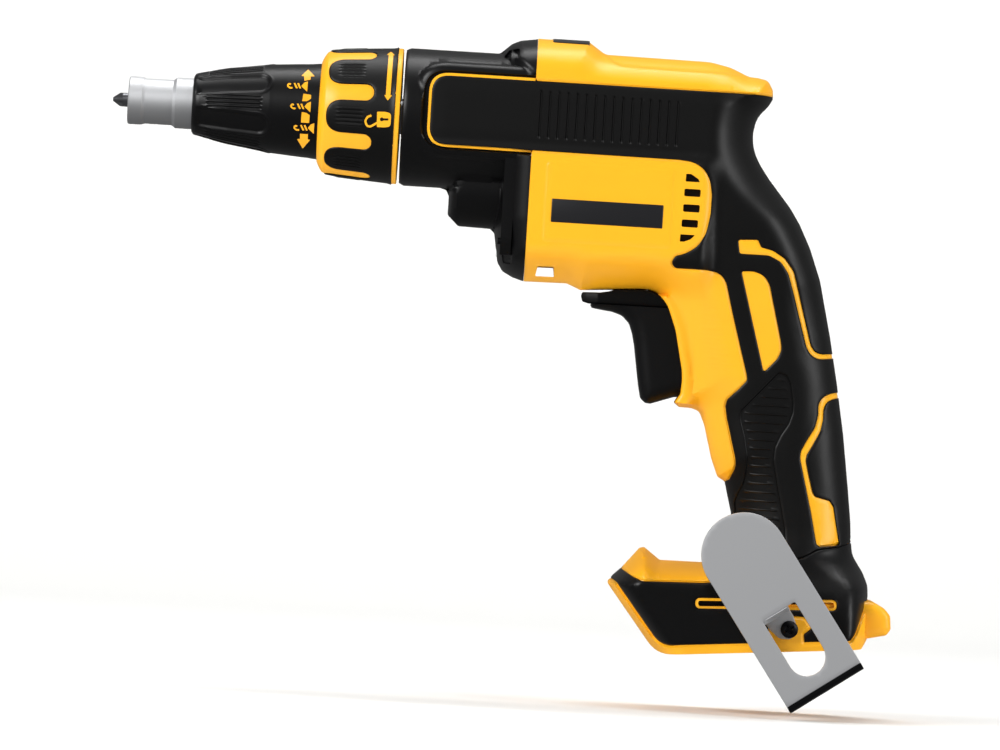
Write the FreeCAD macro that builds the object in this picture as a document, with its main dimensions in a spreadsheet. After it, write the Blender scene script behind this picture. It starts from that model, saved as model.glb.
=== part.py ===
import FreeCAD, Part
import math
import os
import re
import Sketcher

# Cordless drywall screwdriver, in millimetres.
# The spindle axis is X, the nose points to -X, the left side faces -Y and +Z is up.
# X = 0 is where the straight front band of the depth locator begins.

V = FreeCAD.Vector
doc = FreeCAD.newDocument("drywall_screwdriver")
sheet = doc.addObject("Spreadsheet::Sheet", "sizes")

SIZES = {
    # clearances and walls
    "run_clearance": 0.05,
    "face_gap": 0.05,
    "free_gap": 0.5,
    "wall": 3.4,
    "skin": 1.5,
    # screw bit and its holder
    "bit_reach": 6.2,
    "bit_length": 25.4,
    "bit_flats": 6.35,
    "bit_tip_radius": 0.7,
    "bit_cone_radius": 2.5,
    "bit_cone_length": 2.6,
    "bit_neck_radius": 2.8,
    "bit_neck_length": 9.5,
    "bit_wing": 1.1,
    "bit_flute_length": 3.6,
    "holder_front": 6.0,
    "holder_radius": 5.6,
    "holder_chamfer": 0.8,
    "shank_length": 18.0,
    "socket_clearance": 0.04,
    "magnet_radius": 2.6,
    "magnet_length": 4.0,
    # depth locator
    "locator_chamfer": 0.4,
    "locator_band_radius": 8.85,
    "locator_band_length": 4.6,
    "locator_waist_radius": 8.4,
    "locator_waist_end": 16.0,
    "locator_rear_radius": 9.4,
    "locator_step": 1.2,
    "locator_flange_front": 31.0,
    "locator_flange_length": 14.0,
    "locator_flange_radius": 10.4,
    "locator_bore_radius": 7.0,
    "depth_travel": 2.5,
    # depth cone
    "cone_front": 23.4,
    "cone_lip_radius": 10.6,
    "cone_shoulder_radius": 12.0,
    "cone_shoulder_length": 2.4,
    "cone_waist_radius": 16.4,
    "cone_waist_length": 28.6,
    "cone_rear_radius": 17.9,
    "cone_taper_length": 47.6,
    "cone_back": 84.5,
    "cone_pockets": 6,
    "cone_pocket_radius": 4.6,
    "cone_pocket_depth": 0.9,
    "cone_pocket_front": 30.0,
    "cone_pocket_back": 49.0,
    # lock collar
    "collar_front": 70.2,
    "collar_lip_radius": 18.9,
    "collar_shoulder_radius": 22.2,
    "collar_shoulder_length": 1.6,
    "collar_mid_radius": 23.4,
    "collar_mid_length": 7.8,
    "collar_rear_radius": 25.1,
    "collar_taper_length": 26.8,
    "collar_back": 100.2,
    "collar_bore_radius": 18.4,
    "collar_grip_depth": 1.6,
    "collar_fingers": 8,
    "collar_finger_width": 6.0,
    "collar_finger_back": 89.0,
    "collar_finger_phase": 18.0,
    "collar_ring_length": 2.2,
    # nose spigot of the gear case
    "spigot_front": 50.6,
    "spigot_radius": 13.5,
    "spigot_bore_radius": 8.2,
    "hub_front": 86.0,
    "hub_radius": 17.5,
    "clip_thickness": 1.0,
    "clip_radius": 17.2,
    "front_bush_front": 52.0,
    "front_bush_length": 14.0,
    # gear case
    "case_front": 101.2,
    "case_radius": 25.5,
    "case_chamfer": 1.6,
    "chin_round": 2.0,
    "tail_round": 6.4,
    "panel_corner": 4.0,
    "case_back": 149.5,
    "chamber_front": 113.15,
    "chamber_radius": 22.7,
    "boss_front": 120.2,
    "boss_radius": 13.25,
    "chin_front": 136.0,
    "chin_top": -39.5,
    "chin_edge": 139.4,
    "chin_low": -51.8,
    "chin_heel": 145.0,
    "body_bottom": -58.2,
    "hump_front": 136.0,
    "hump_step": 142.0,
    "hump_rise": 30.2,
    "hump_top": 31.6,
    "plate_front": 140.0,
    "plate_length": 4.0,
    "plate_top": 27.4,
    "plate_bottom": -49.0,
    "rear_bush_radius": 8.0,
    "case_screw_radius": 1.25,
    "case_screw_head_radius": 2.2,
    "case_screw_head_length": 2.3,
    "case_screw_front": 139.0,
    "case_screw_high_side": 5.0,
    "case_screw_high": 24.2,
    "case_screw_low_side": 17.0,
    "case_screw_low": -44.0,
    "lens_radius": 3.2,
    "lens_height": -46.4,
    "lens_front": 137.4,
    # spindle and clutch
    "spindle_front": 46.0,
    "spindle_radius": 6.6,
    "spindle_rear_radius": 5.0,
    "spindle_back": 143.4,
    "washer_thickness": 2.0,
    "washer_radius": 12.0,
    "flange_thickness": 4.0,
    "flange_radius": 14.0,
    "dog_height": 2.2,
    "dog_inner_radius": 10.5,
    "dog_width": 5.0,
    "dog_count": 3,
    "push_travel": 3.0,
    "dog_spare": 0.3,
    "spring_radius": 7.6,
    "spring_wire_radius": 0.5,
    "spring_turns": 4,
    # gears
    "gear_module": 1.25,
    "gear_teeth": 34,
    "pinion_teeth": 8,
    "pressure_angle": 25.0,
    "gear_addendum": 0.9,
    "pinion_addendum": 1.2,
    "root_clearance": 0.25,
    "tooth_thinning": 0.12,
    "gear_thickness": 9.0,
    "gear_hub_radius": 9.0,
    "pinion_front": 127.0,
    "pinion_back": 138.0,
    "pinion_pocket_radius": 7.2,
    # motor
    "shaft_radius": 3.0,
    "shaft_front": 122.0,
    "shaft_back": 216.6,
    "pinion_bush_front": 121.6,
    "pinion_bush_length": 4.4,
    "pinion_bush_radius": 5.5,
    "motor_bearing_radius": 8.0,
    "stator_front": 152.0,
    "stator_back": 182.0,
    "stator_radius": 20.0,
    "stator_yoke": 4.0,
    "stator_bore_radius": 11.5,
    "tooth_width": 6.0,
    "coil_count": 6,
    "coil_width": 10.4,
    "coil_inner": 12.3,
    "coil_outer": 15.0,
    "coil_overhang": 2.5,
    "rotor_radius": 11.0,
    "rotor_front": 154.0,
    "rotor_back": 180.0,
    "board_thickness": 1.6,
    "board_radius": 18.5,
    "board_bore_radius": 6.0,
    "fan_front": 196.0,
    "fan_back": 205.0,
    "fan_radius": 17.0,
    "fan_disc": 1.8,
    "fan_hub_radius": 6.0,
    "fan_blades": 9,
    "fan_blade_tilt": 12.0,
    "fan_blade_width": 1.4,
    "rear_bearing_front": 212.6,
    "rear_bearing_length": 4.4,
    "rib_width": 3.0,
    "rib_first": 155.0,
    "rib_second": 175.0,
    # housing, upper body
    "body_top": 27.4,
    "body_hump_end": 169.2,
    "body_slope_end": 175.0,
    "body_tail_start": 214.0,
    "body_tail": 229.0,
    "body_tail_height": 22.4,
    "body_back": 237.4,
    "body_back_top": 20.6,
    "body_back_low": 14.2,
    "body_neck": 231.0,
    "body_neck_height": 7.0,
    "body_round_start": 204.0,
    "grip_half_width": 24.3,
    "grip_top": 17.0,
    "grip_bottom": -9.0,
    "top_half_width": 9.0,
    "shoulder_half_width": 18.8,
    "shoulder_height": 27.2,
    "motor_half_width": 26.3,
    "motor_side_top": -12.0,
    "motor_side_bottom": -47.0,
    "motor_bilge_half_width": 20.5,
    "motor_bilge_height": -54.4,
    "motor_floor_half_width": 8.0,
    "section_round": 8.0,
    "scoop_front": 173.0,
    "scoop_front_run": 6.5,
    "scoop_low": 22.3,
    "scoop_half_width": 17.0,
    "scoop_crest": 27.0,
    "scoop_crest_half_width": 7.0,
    "vent_count": 5,
    "vent_first": -16.6,
    "vent_pitch": 5.6,
    "vent_height": 2.2,
    "vent_front": 205.8,
    "vent_back": 212.0,
    # black region of the housing
    "band_top": 15.7,
    "band_low": -10.4,
    "panel_back": 216.0,
    "panel_back_top": -20.0,
    "panel_back_low": -36.5,
    "panel_notch": 203.4,
    "panel_notch_low": -48.2,
    "cheek_back": 221.5,
    "cheek_back_low": -51.5,
    "cheek_tip": 233.6,
    "cheek_tip_low": -88.0,
    "cheek_turn": 226.8,
    "cheek_turn_low": -100.6,
    "cheek_end": 231.0,
    "cheek_end_low": -121.0,
    "cheek_front": 226.6,
    "cheek_front_low": -127.5,
    # foot, in its own tilted frame
    "foot_x": 243.85,
    "foot_z": -188.8,
    "foot_tilt": 4.9,
    "foot_half_width": 33.0,
    "foot_half_length": 37.6,
    "foot_front_rise": 3.3,
    "foot_nose": -54.7,
    "foot_nose_rise": 26.3,
    "foot_brow": -49.8,
    "foot_brow_rise": 31.4,
    "foot_horn": -41.6,
    "foot_horn_rise": 38.9,
    "foot_deck": -34.9,
    "foot_deck_rise": 34.0,
    "foot_back": 41.4,
    "foot_back_rise": 20.0,
    "foot_edge_radius": 5.0,
    "foot_side_rise": 27.5,
    "foot_side_top": 34.2,
    "foot_side_top_half_width": 27.5,
    "foot_horn_half_width": 20.0,
    "heel_low": -173.0,
    "heel_high": -150.0,
    "heel_high_half_width": 16.7,
    "heel_front_low": 229.0,
    "heel_front_high": 237.0,
    "cover_step": -9.0,
    "cover_step_run": 4.0,
    "foot_band": 3.2,
    "bumper_back": 49.0,
    "bumper_low": 4.0,
    "bumper_high": 14.6,
    "bumper_half_width": 20.0,
    "channel_half_width": 24.0,
    "channel_lip_half_width": 20.5,
    "channel_lip": 3.2,
    "channel_top": 14.0,
    "channel_back": 36.0,
    "bay_front": -30.0,
    "bay_floor": 17.0,
    "bay_half_width": 29.0,
    "module_front": -22.0,
    "module_back": 20.0,
    "module_half_width": 20.0,
    "module_height": 9.0,
    "terminal_front": 12.0,
    "terminal_half_width": 15.0,
    "terminal_low": 6.5,
    "blade_count": 4,
    "blade_pitch": 7.5,
    "blade_thickness": 0.8,
    "blade_reach": 9.0,
    "blade_low": 7.5,
    "blade_high": 13.0,
    # trigger, switch and reversing lever
    "mouth_half_width": 10.2,
    "mouth_top": -60.4,
    "mouth_bottom": -102.6,
    "mouth_front": 188.0,
    "trigger_half_width": 9.5,
    "trigger_toe_rise": 3.0,
    "trigger_toe_round": 2.0,
    "trigger_scoop_round": 6.0,
    "trigger_top": -66.2,
    "trigger_nose": 176.0,
    "trigger_brow": 187.5,
    "trigger_brow_low": -69.2,
    "trigger_scoop": 191.4,
    "trigger_scoop_low": -79.0,
    "trigger_toe": 196.2,
    "trigger_low": -100.3,
    "trigger_back": 213.5,
    "trigger_travel": 6.0,
    "plunger_radius": 2.6,
    "plunger_height": -80.0,
    "plunger_length": 13.0,
    "switch_front": 222.0,
    "switch_back": 246.0,
    "switch_top": -67.0,
    "switch_bottom": -100.0,
    "switch_half_width": 10.0,
    "switch_rib": 232.0,
    "return_spring_radius": 4.2,
    "return_spring_wire": 0.4,
    "return_spring_turns": 4,
    "lever_front": 170.8,
    "lever_neck": 176.5,
    "lever_tip_half_width": 3.2,
    "lever_half_width": 5.2,
    "lever_top": -60.9,
    "lever_thickness": 3.9,
    "lever_pivot": 225.0,
    "lever_tail": 5.0,
    "lever_pin_radius": 2.0,
    # belt hook, in its own tilted frame
    "hook_x": 235.8,
    "hook_z": -153.4,
    "hook_tilt": 35.0,
    "hook_half_width": 15.7,
    "hook_length": 57.8,
    "hook_thickness": 1.8,
    "hook_stand_off": 10.0,
    "hook_flange": 8.0,
    "hook_slot_top": 22.0,
    "hook_slot_bottom": 50.0,
    "hook_slot_half_width": 7.6,
    "hook_tongue_half_width": 6.0,
    "hook_tongue_bottom": 40.0,
    "hook_hole": 32.0,
    "hook_screw_radius": 2.0,
    "hook_head_radius": 4.4,
    "hook_head_length": 2.6,
    "insert_radius": 3.2,
    "insert_length": 9.0,
    "insert_bore": 1.65,
    # housing screws
    "screw_radius": 1.5,
    "screw_head_radius": 3.0,
    "screw_head_length": 2.4,
    "screw_seat": 7.0,
    "screw_tip": -11.0,
    "screw_boss_radius": 4.0,
    "screw_hole_clearance": 0.2,
    "screw_head_clearance": 0.4,
    # bare plates
    "plate_thickness": 0.6,
    "side_plate_front": 158.0,
    "side_plate_back": 199.0,
    "side_plate_top": -27.4,
    "side_plate_low": -36.0,
}

# where the housing screws stand, along the body and up
SCREW_SPOTS = (
    (157.5, 21.5), (226.0, 13.0), (232.0, -45.0), (255.5, -82.0), (262.0, -128.0),
    (203.0, -165.0), (272.0, -163.0), (166.0, -51.6), (196.0, -51.6),
)

# the handle's level sections: height, front, back, half width and how far its round ends reach in
HANDLE_STATIONS = (
    ("tang", 11.0, 178.0, 231.6, 23.6, 24.0),
    ("saddle", 0.0, 178.0, 231.0, 24.0, 24.2),
    ("web", -15.0, 180.0, 238.2, 23.8, 24.0),
    ("root", -31.0, 184.0, 250.3, 22.6, 22.8),
    ("throat", -51.0, 190.0, 259.0, 20.6, 21.0),
    ("choil", -72.0, 202.5, 264.0, 18.6, 20.0),
    ("palm", -96.0, 208.0, 269.2, 17.5, 20.0),
    ("swell", -110.0, 219.6, 271.4, 17.2, 20.0),
    ("waist", -131.0, 228.8, 274.4, 16.9, 20.0),
    ("ankle", -148.0, 232.6, 276.6, 17.6, 20.0),
    ("heel", -166.0, 231.0, 277.6, 17.6, 20.0),
)

row = 0
for alias, number in SIZES.items():
    row += 1
    sheet.set(f"A{row}", alias)
    sheet.set(f"B{row}", str(number))
    sheet.setAlias(f"B{row}", alias)
for spot, (along, up) in enumerate(SCREW_SPOTS):
    for word, number in (("along", along), ("up", up)):
        row += 1
        sheet.set(f"A{row}", f"screw_{word}_{spot}_place")
        sheet.set(f"B{row}", str(number))
        sheet.setAlias(f"B{row}", f"screw_{word}_{spot}_place")
for word, *numbers in HANDLE_STATIONS:
    for what, number in zip(("height", "front", "back", "half", "reach"), numbers):
        row += 1
        sheet.set(f"A{row}", f"handle_{word}_{what}")
        sheet.set(f"B{row}", str(number))
        sheet.setAlias(f"B{row}", f"handle_{word}_{what}")
doc.recompute()

nodes = {}
SAME_PLACE = 1e-4
WORD = re.compile(r"[a-z][a-z_0-9]*_[a-z_0-9]*[a-z]|\b(?:wall|skin)\b")


def cell(text):
    """The expression with every size's name tied to its cell."""
    return WORD.sub(lambda found: "sizes." + found.group(0), text)


def value(text):
    """The number that an expression gives now."""
    return float(sheet.evalExpression(cell(text)))


def bind(thing, **paths):
    """Tie properties to the sheet; two underscores stand for a dot in the path."""
    for path, text in paths.items():
        thing.setExpression(path.replace("__", "."), cell(text))


def node(thing, label):
    """Register a finished piece under its name."""
    thing.Label = label
    nodes[label] = thing
    return thing


# Part primitives and booleans

TURNS = {
    "X": FreeCAD.Rotation(V(0, 1, 0), 90),
    "Y": FreeCAD.Rotation(V(1, 0, 0), -90),
    "Z": FreeCAD.Rotation(),
}


def rod(name, axis, start, end, radius, first="0", second="0"):
    """A cylinder along an axis; first and second are its place on the other two axes."""
    thing = doc.addObject("Part::Cylinder", name)
    thing.Placement = FreeCAD.Placement(V(0, 0, 0), TURNS[axis])
    others = [letter for letter in "xyz" if letter != axis.lower()]
    bind(thing, Radius=radius, Height=f"({end}) - ({start})")
    bind(thing, **{f"Placement__Base__{axis.lower()}": start})
    bind(thing, **{f"Placement__Base__{others[0]}": first, f"Placement__Base__{others[1]}": second})
    return thing


def block(name, xs, ys, zs):
    """A box between two corners."""
    thing = doc.addObject("Part::Box", name)
    for length, letter, (low, high) in zip(("Length", "Width", "Height"), "xyz", (xs, ys, zs)):
        bind(thing, **{length: f"({high}) - ({low})", f"Placement__Base__{letter}": low})
    return thing


def both(half):
    """A span from minus to plus a half width."""
    return (f"-({half})", half)


def hexagon(name, start, end, flats):
    """A hexagonal bar along X."""
    thing = doc.addObject("Part::Prism", name)
    thing.Polygon = 6
    thing.Placement = FreeCAD.Placement(V(0, 0, 0), TURNS["X"])
    bind(thing, Circumradius=f"({flats}) / sqrt(3)", Height=f"({end}) - ({start})")
    bind(thing, Placement__Base__x=start)
    return thing


def fuse(name, things):
    thing = doc.addObject("Part::MultiFuse", name)
    thing.Shapes = things
    return thing


def cut(name, base, tools):
    thing = doc.addObject("Part::Cut", name)
    thing.Base = base
    thing.Tool = tools[0] if len(tools) == 1 else fuse(name + "_tools", tools)
    return thing


def common(name, things):
    thing = doc.addObject("Part::MultiCommon", name)
    thing.Shapes = things
    return thing


def group(name, things):
    thing = doc.addObject("Part::Compound", name)
    thing.Links = things
    return thing


# sketched bodies

def sketch_on(body, role, outline, lift=None):
    """A closed polygon sketch on one of the body's own planes, each corner tied to the sheet."""
    plane = next(part for part in body.Origin.OriginFeatures if part.Role == role)
    sketch = body.newObject("Sketcher::SketchObject", body.Name + "_outline")
    sketch.AttachmentSupport = [(plane, "")]
    sketch.MapMode = "FlatFace"
    if lift is not None:
        sketch.setExpression("AttachmentOffset.Base.z", cell(lift))
    corners = [V(value(across), value(up), 0) for across, up in outline]
    count = len(corners)
    for index in range(count):
        sketch.addGeometry(Part.LineSegment(corners[index], corners[(index + 1) % count]))
    for index in range(count):
        sketch.addConstraint(Sketcher.Constraint("Coincident", index, 2, (index + 1) % count, 1))
    for index, (across, up) in enumerate(outline):
        for kind, text, number in (
            ("DistanceX", across, corners[index].x),
            ("DistanceY", up, corners[index].y),
        ):
            place = sketch.addConstraint(Sketcher.Constraint(kind, -1, 1, index, 1, number))
            sketch.setExpression(f"Constraints[{place}]", cell(text))
    return sketch


def turned(name, profile):
    """A body of revolution about X, from (x, radius) corners."""
    body = doc.addObject("PartDesign::Body", name)
    sketch = sketch_on(body, "XZ_Plane", profile)
    spin = body.newObject("PartDesign::Revolution", name + "_turn")
    spin.Profile = sketch
    spin.ReferenceAxis = (sketch, ["H_Axis"])
    spin.Angle = 360
    return body


def padded(name, role, outline, length, lift=None, rounds=()):
    """A padded outline; symmetric without a lift, else from the lift onwards.

    rounds holds (corner number, radius) pairs for the upright edges.
    """
    body = doc.addObject("PartDesign::Body", name)
    sketch = sketch_on(body, role, outline, lift)
    pad = body.newObject("PartDesign::Pad", name + "_pad")
    pad.Profile = sketch
    bind(pad, Length=length)
    if lift is None:
        pad.SideType = "Symmetric"
    doc.recompute()
    for place, (corner, radius) in enumerate(rounds):
        across, up = (value(text) for text in outline[corner])
        spot = sketch.Placement.multVec(V(across, up, 0))
        along = sketch.Placement.Rotation.multVec(V(0, 0, 1))
        base = body.Tip
        edge = next(
            f"Edge{index}"
            for index, edge in enumerate(base.Shape.Edges, 1)
            if is_upright(edge, spot, along)
        )
        rounding = body.newObject("PartDesign::Fillet", f"{name}_round_{place}")
        rounding.Base = (base, [edge])
        bind(rounding, Radius=radius)
        doc.recompute()
    return body


def is_upright(edge, spot, along):
    """Whether an edge runs along a direction through a spot."""
    if edge.Curve.TypeId != "Part::GeomLine":
        return False
    start = edge.Vertexes[0].Point.sub(spot)
    heading = edge.tangentAt(edge.FirstParameter)
    return max(start.cross(along).Length, heading.cross(along).Length) < SAME_PLACE


# gears and springs, which follow a formula

def tooth_wheel(teeth, addendum, dedendum, front, back, half_step):
    """An involute spur wheel about X between two stations."""
    module = value("gear_module")
    pressure = math.radians(value("pressure_angle"))
    pitch_radius = teeth * module / 2
    base_radius = pitch_radius * math.cos(pressure)
    root_radius = pitch_radius - dedendum
    tip_radius = pitch_radius + addendum
    thickness = math.pi * module / 2 - value("tooth_thinning")
    flank_foot = max(base_radius, root_radius)
    flank_steps = 6

    def half_angle(radius):
        roll = math.acos(base_radius / radius)
        start = math.tan(pressure) - pressure
        return thickness / 2 / pitch_radius + start - (math.tan(roll) - roll)

    radii = [flank_foot + (tip_radius - flank_foot) * step / flank_steps for step in range(flank_steps + 1)]
    side = [(radius, half_angle(radius)) for radius in radii]
    if root_radius < base_radius:
        side.insert(0, (root_radius, half_angle(base_radius)))
    points = []
    for tooth in range(teeth):
        middle = 2 * math.pi * (tooth + half_step) / teeth
        for radius, angle in [(r, -a) for r, a in side] + side[::-1]:
            turn = middle + angle
            points.append(V(front, radius * math.sin(turn), radius * math.cos(turn)))
    face = Part.Face(Part.makePolygon(points + points[:1]))
    return face.extrude(V(back - front, 0, 0))


def coil_spring(front, back, radius, wire_radius, turns):
    """A helical spring about X as one tube on half-turn arcs, with its least gap to itself printed."""
    lead = (back - front - 2 * wire_radius) / turns

    def spot(turn):
        angle = 2 * math.pi * turn
        return V(front + wire_radius + lead * turn, radius * math.sin(angle), radius * math.cos(angle))

    arcs = []
    eighth = 1 / 8
    for quarter in range(int(4 * turns)):
        start = 2 * quarter * eighth
        arcs.append(Part.Arc(spot(start), spot(start + eighth), spot(start + 2 * eighth)).toShape())
    path = Part.Wire(arcs)
    along = path.Edges[0].tangentAt(path.Edges[0].FirstParameter)
    ring = Part.Wire(Part.makeCircle(wire_radius, spot(0), along))
    tube = path.makePipeShell([ring], True, False)
    print(f"spring of {turns} turns: least gap to itself {lead - 2 * wire_radius:.2f} mm")
    return tube


def formed(name, shape):
    thing = doc.addObject("Part::Feature", name)
    thing.Shape = shape
    return thing


def ring_of(name, shape, count, phase, height=0.0):
    """Copies of a shape, evenly spread about an axis along X at a height."""
    things = []
    for place in range(count):
        one = shape.copy()
        one.rotate(V(0, 0, height), V(1, 0, 0), phase + 360 * place / count)
        things.append(formed(f"{name}_{place}", one))
    return things


# stations along the spindle, each worked out from the one before
BIT_END = "(bit_length - bit_reach)"
WASHER_FRONT = "(chamber_front + face_gap)"
FLANGE_FRONT = f"({WASHER_FRONT} + washer_thickness + face_gap)"
FLANGE_BACK = f"({FLANGE_FRONT} + flange_thickness)"
DOG_BACK = f"({FLANGE_BACK} + dog_height)"
GEAR_DOG_FRONT = f"({DOG_BACK} + push_travel + dog_spare)"
GEAR_FRONT = f"({GEAR_DOG_FRONT} + dog_height)"
GEAR_BACK = f"({GEAR_FRONT} + gear_thickness)"
PLATE_BACK = "(plate_front + plate_length)"
MOTOR_AXIS = "(-(gear_teeth + pinion_teeth) * gear_module / 2)"
GEAR_DEDENDUM = "(pinion_addendum + root_clearance)"
PINION_DEDENDUM = "(gear_addendum + root_clearance)"
COIL_FRONT = "(stator_front - coil_overhang)"
COIL_BACK = "(stator_back + coil_overhang)"


def make_nose():
    """Bit, bit holder, magnet, locator, cone, collar and its clip."""
    tip_back = "(bit_cone_length - bit_reach)"
    neck_back = "(bit_neck_length - bit_reach)"
    tip = turned("bit_tip", [
        ("-bit_reach", "0"),
        ("-bit_reach", "bit_tip_radius"),
        (tip_back, "bit_cone_radius"),
        (neck_back, "bit_neck_radius"),
        (neck_back, "0"),
    ])
    shank = hexagon("bit_shank", neck_back, BIT_END, "bit_flats")
    flutes = []
    reach = "bit_cone_radius * 2"
    for side in (1, -1):
        for rise in (1, -1):
            ys = ("bit_wing / 2", reach) if side > 0 else (f"-{reach}", "-bit_wing / 2")
            zs = ("bit_wing / 2", reach) if rise > 0 else (f"-{reach}", "-bit_wing / 2")
            flutes.append(block(f"bit_flute_{side + 1}{rise + 1}",
                                ("-bit_reach - free_gap", "bit_flute_length - bit_reach"), ys, zs))
    node(cut("bit_cut", fuse("bit_blank", [tip, shank]), flutes), "screw_bit")

    holder = turned("holder_barrel", [
        ("holder_front", "0"),
        ("holder_front", "holder_radius - holder_chamfer"),
        ("holder_front + holder_chamfer", "holder_radius"),
        ("spindle_front", "holder_radius"),
        ("spindle_front", "0"),
    ])
    tang = hexagon("holder_shank", "spindle_front", "spindle_front + shank_length", "bit_flats")
    socket = hexagon("holder_socket", "holder_front", BIT_END, "bit_flats + socket_clearance")
    pocket = rod("magnet_pocket", "X", BIT_END, f"{BIT_END} + magnet_length", "magnet_radius")
    node(cut("holder_cut", fuse("holder_blank", [holder, tang]), [socket, pocket]), "bit_holder")
    node(rod("magnet", "X", BIT_END, f"{BIT_END} + magnet_length", "magnet_radius"), "holder_magnet")

    flange_back = "locator_flange_front + locator_flange_length"
    node(turned("locator", [
        ("-locator_chamfer", "locator_bore_radius"),
        ("-locator_chamfer", "locator_band_radius - locator_chamfer"),
        ("0", "locator_band_radius"),
        ("locator_band_length", "locator_band_radius"),
        ("locator_band_length + locator_step", "locator_waist_radius"),
        ("locator_waist_end", "locator_waist_radius"),
        ("locator_waist_end + locator_step", "locator_rear_radius"),
        ("locator_flange_front", "locator_rear_radius"),
        ("locator_flange_front", "locator_flange_radius"),
        (flange_back, "locator_flange_radius"),
        (flange_back, "locator_bore_radius"),
    ]), "depth_locator")

    thread_front = "locator_flange_front - depth_travel - free_gap"
    cone = turned("cone_blank", [
        ("cone_front", "locator_rear_radius + free_gap"),
        ("cone_front", "cone_lip_radius"),
        ("cone_front + cone_shoulder_length", "cone_shoulder_radius"),
        ("cone_front + cone_waist_length", "cone_waist_radius"),
        ("cone_front + cone_taper_length", "cone_rear_radius"),
        ("cone_back", "cone_rear_radius"),
        ("cone_back", "spigot_radius + run_clearance"),
        ("spigot_front - free_gap", "spigot_radius + run_clearance"),
        ("spigot_front - free_gap", "locator_flange_radius + run_clearance"),
        (thread_front, "locator_flange_radius + run_clearance"),
        (thread_front, "locator_rear_radius + free_gap"),
    ])
    slope = "(cone_waist_radius - cone_shoulder_radius) / (cone_waist_length - cone_shoulder_length)"
    first = f"(cone_shoulder_radius + ({slope}) * (cone_pocket_front - cone_front - cone_shoulder_length))"
    last = f"(cone_shoulder_radius + ({slope}) * (cone_pocket_back - cone_front - cone_shoulder_length))"
    lift = value("cone_pocket_radius") - value("cone_pocket_depth")
    near = V(value("cone_pocket_front"), 0, value(first) + lift)
    far = V(value("cone_pocket_back"), 0, value(last) + lift)
    run = far.sub(near)
    radius = value("cone_pocket_radius")
    scoop = Part.makeCylinder(radius, run.Length, near, run)
    scoop = scoop.fuse([Part.makeSphere(radius, near), Part.makeSphere(radius, far)])
    pockets = int(value("cone_pockets"))
    scoops = ring_of("cone_scoop", scoop, pockets, 180 / pockets)
    node(cut("cone_cut", cone, scoops), "depth_cone")

    collar_outline = [
        ("collar_front", "collar_bore_radius"),
        ("collar_front", "collar_lip_radius"),
        ("collar_front + collar_shoulder_length", "collar_shoulder_radius"),
        ("collar_front + collar_mid_length", "collar_mid_radius"),
        ("collar_front + collar_taper_length", "collar_rear_radius"),
        ("collar_back", "collar_rear_radius"),
        ("collar_back", "hub_radius + run_clearance"),
        ("hub_front + face_gap", "hub_radius + run_clearance"),
        ("hub_front + face_gap", "collar_bore_radius"),
    ]
    under = "collar_grip_depth"
    pad_front = "collar_front + collar_shoulder_length + free_gap"
    pad_back = "collar_back - collar_ring_length"
    collar = turned("collar_blank", collar_outline)
    sleeve = turned("collar_sleeve", [
        (pad_front, f"collar_shoulder_radius - {under}"),
        (pad_front, "collar_rear_radius * 2"),
        (pad_back, "collar_rear_radius * 2"),
        (pad_back, f"collar_rear_radius - {under}"),
    ])
    width = value("collar_finger_width")
    low = value("collar_bore_radius")
    rise = value("collar_rear_radius")
    reach = value("collar_finger_back - collar_front")
    finger = Part.makeBox(reach, width, rise, V(value("collar_front"), -width / 2, low))
    finger = finger.fuse(Part.makeCylinder(width / 2, rise, V(value("collar_finger_back"), 0, low)))
    fingers = ring_of("collar_finger", finger, int(value("collar_fingers")), value("collar_finger_phase"))
    pads = cut("collar_pads", common("collar_skin", [collar, sleeve]), fingers)
    node(pads, "collar_grip")
    node(cut("collar_cut", turned("collar_body", collar_outline), [pads]), "lock_collar")

    ring = rod("clip_ring", "X", "hub_front - clip_thickness", "hub_front", "clip_radius")
    hole = rod("clip_hole", "X", "hub_front - clip_thickness", "hub_front", "spigot_radius")
    node(cut("clip_cut", ring, [hole]), "collar_clip")


def dog_ring(name, front):
    """Clutch dogs about the spindle axis, standing back from a station."""
    inner = value("dog_inner_radius")
    outer = value("flange_radius")
    width = value("dog_width")
    bar = Part.makeBox(value("dog_height"), width, outer, V(front, -width / 2, 0))
    tube = Part.makeCylinder(outer, value("dog_height"), V(front, 0, 0), V(1, 0, 0))
    tube = tube.cut(Part.makeCylinder(inner, value("dog_height"), V(front, 0, 0), V(1, 0, 0)))
    return ring_of(name, bar.common(tube), int(value("dog_count")), 0)


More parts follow.
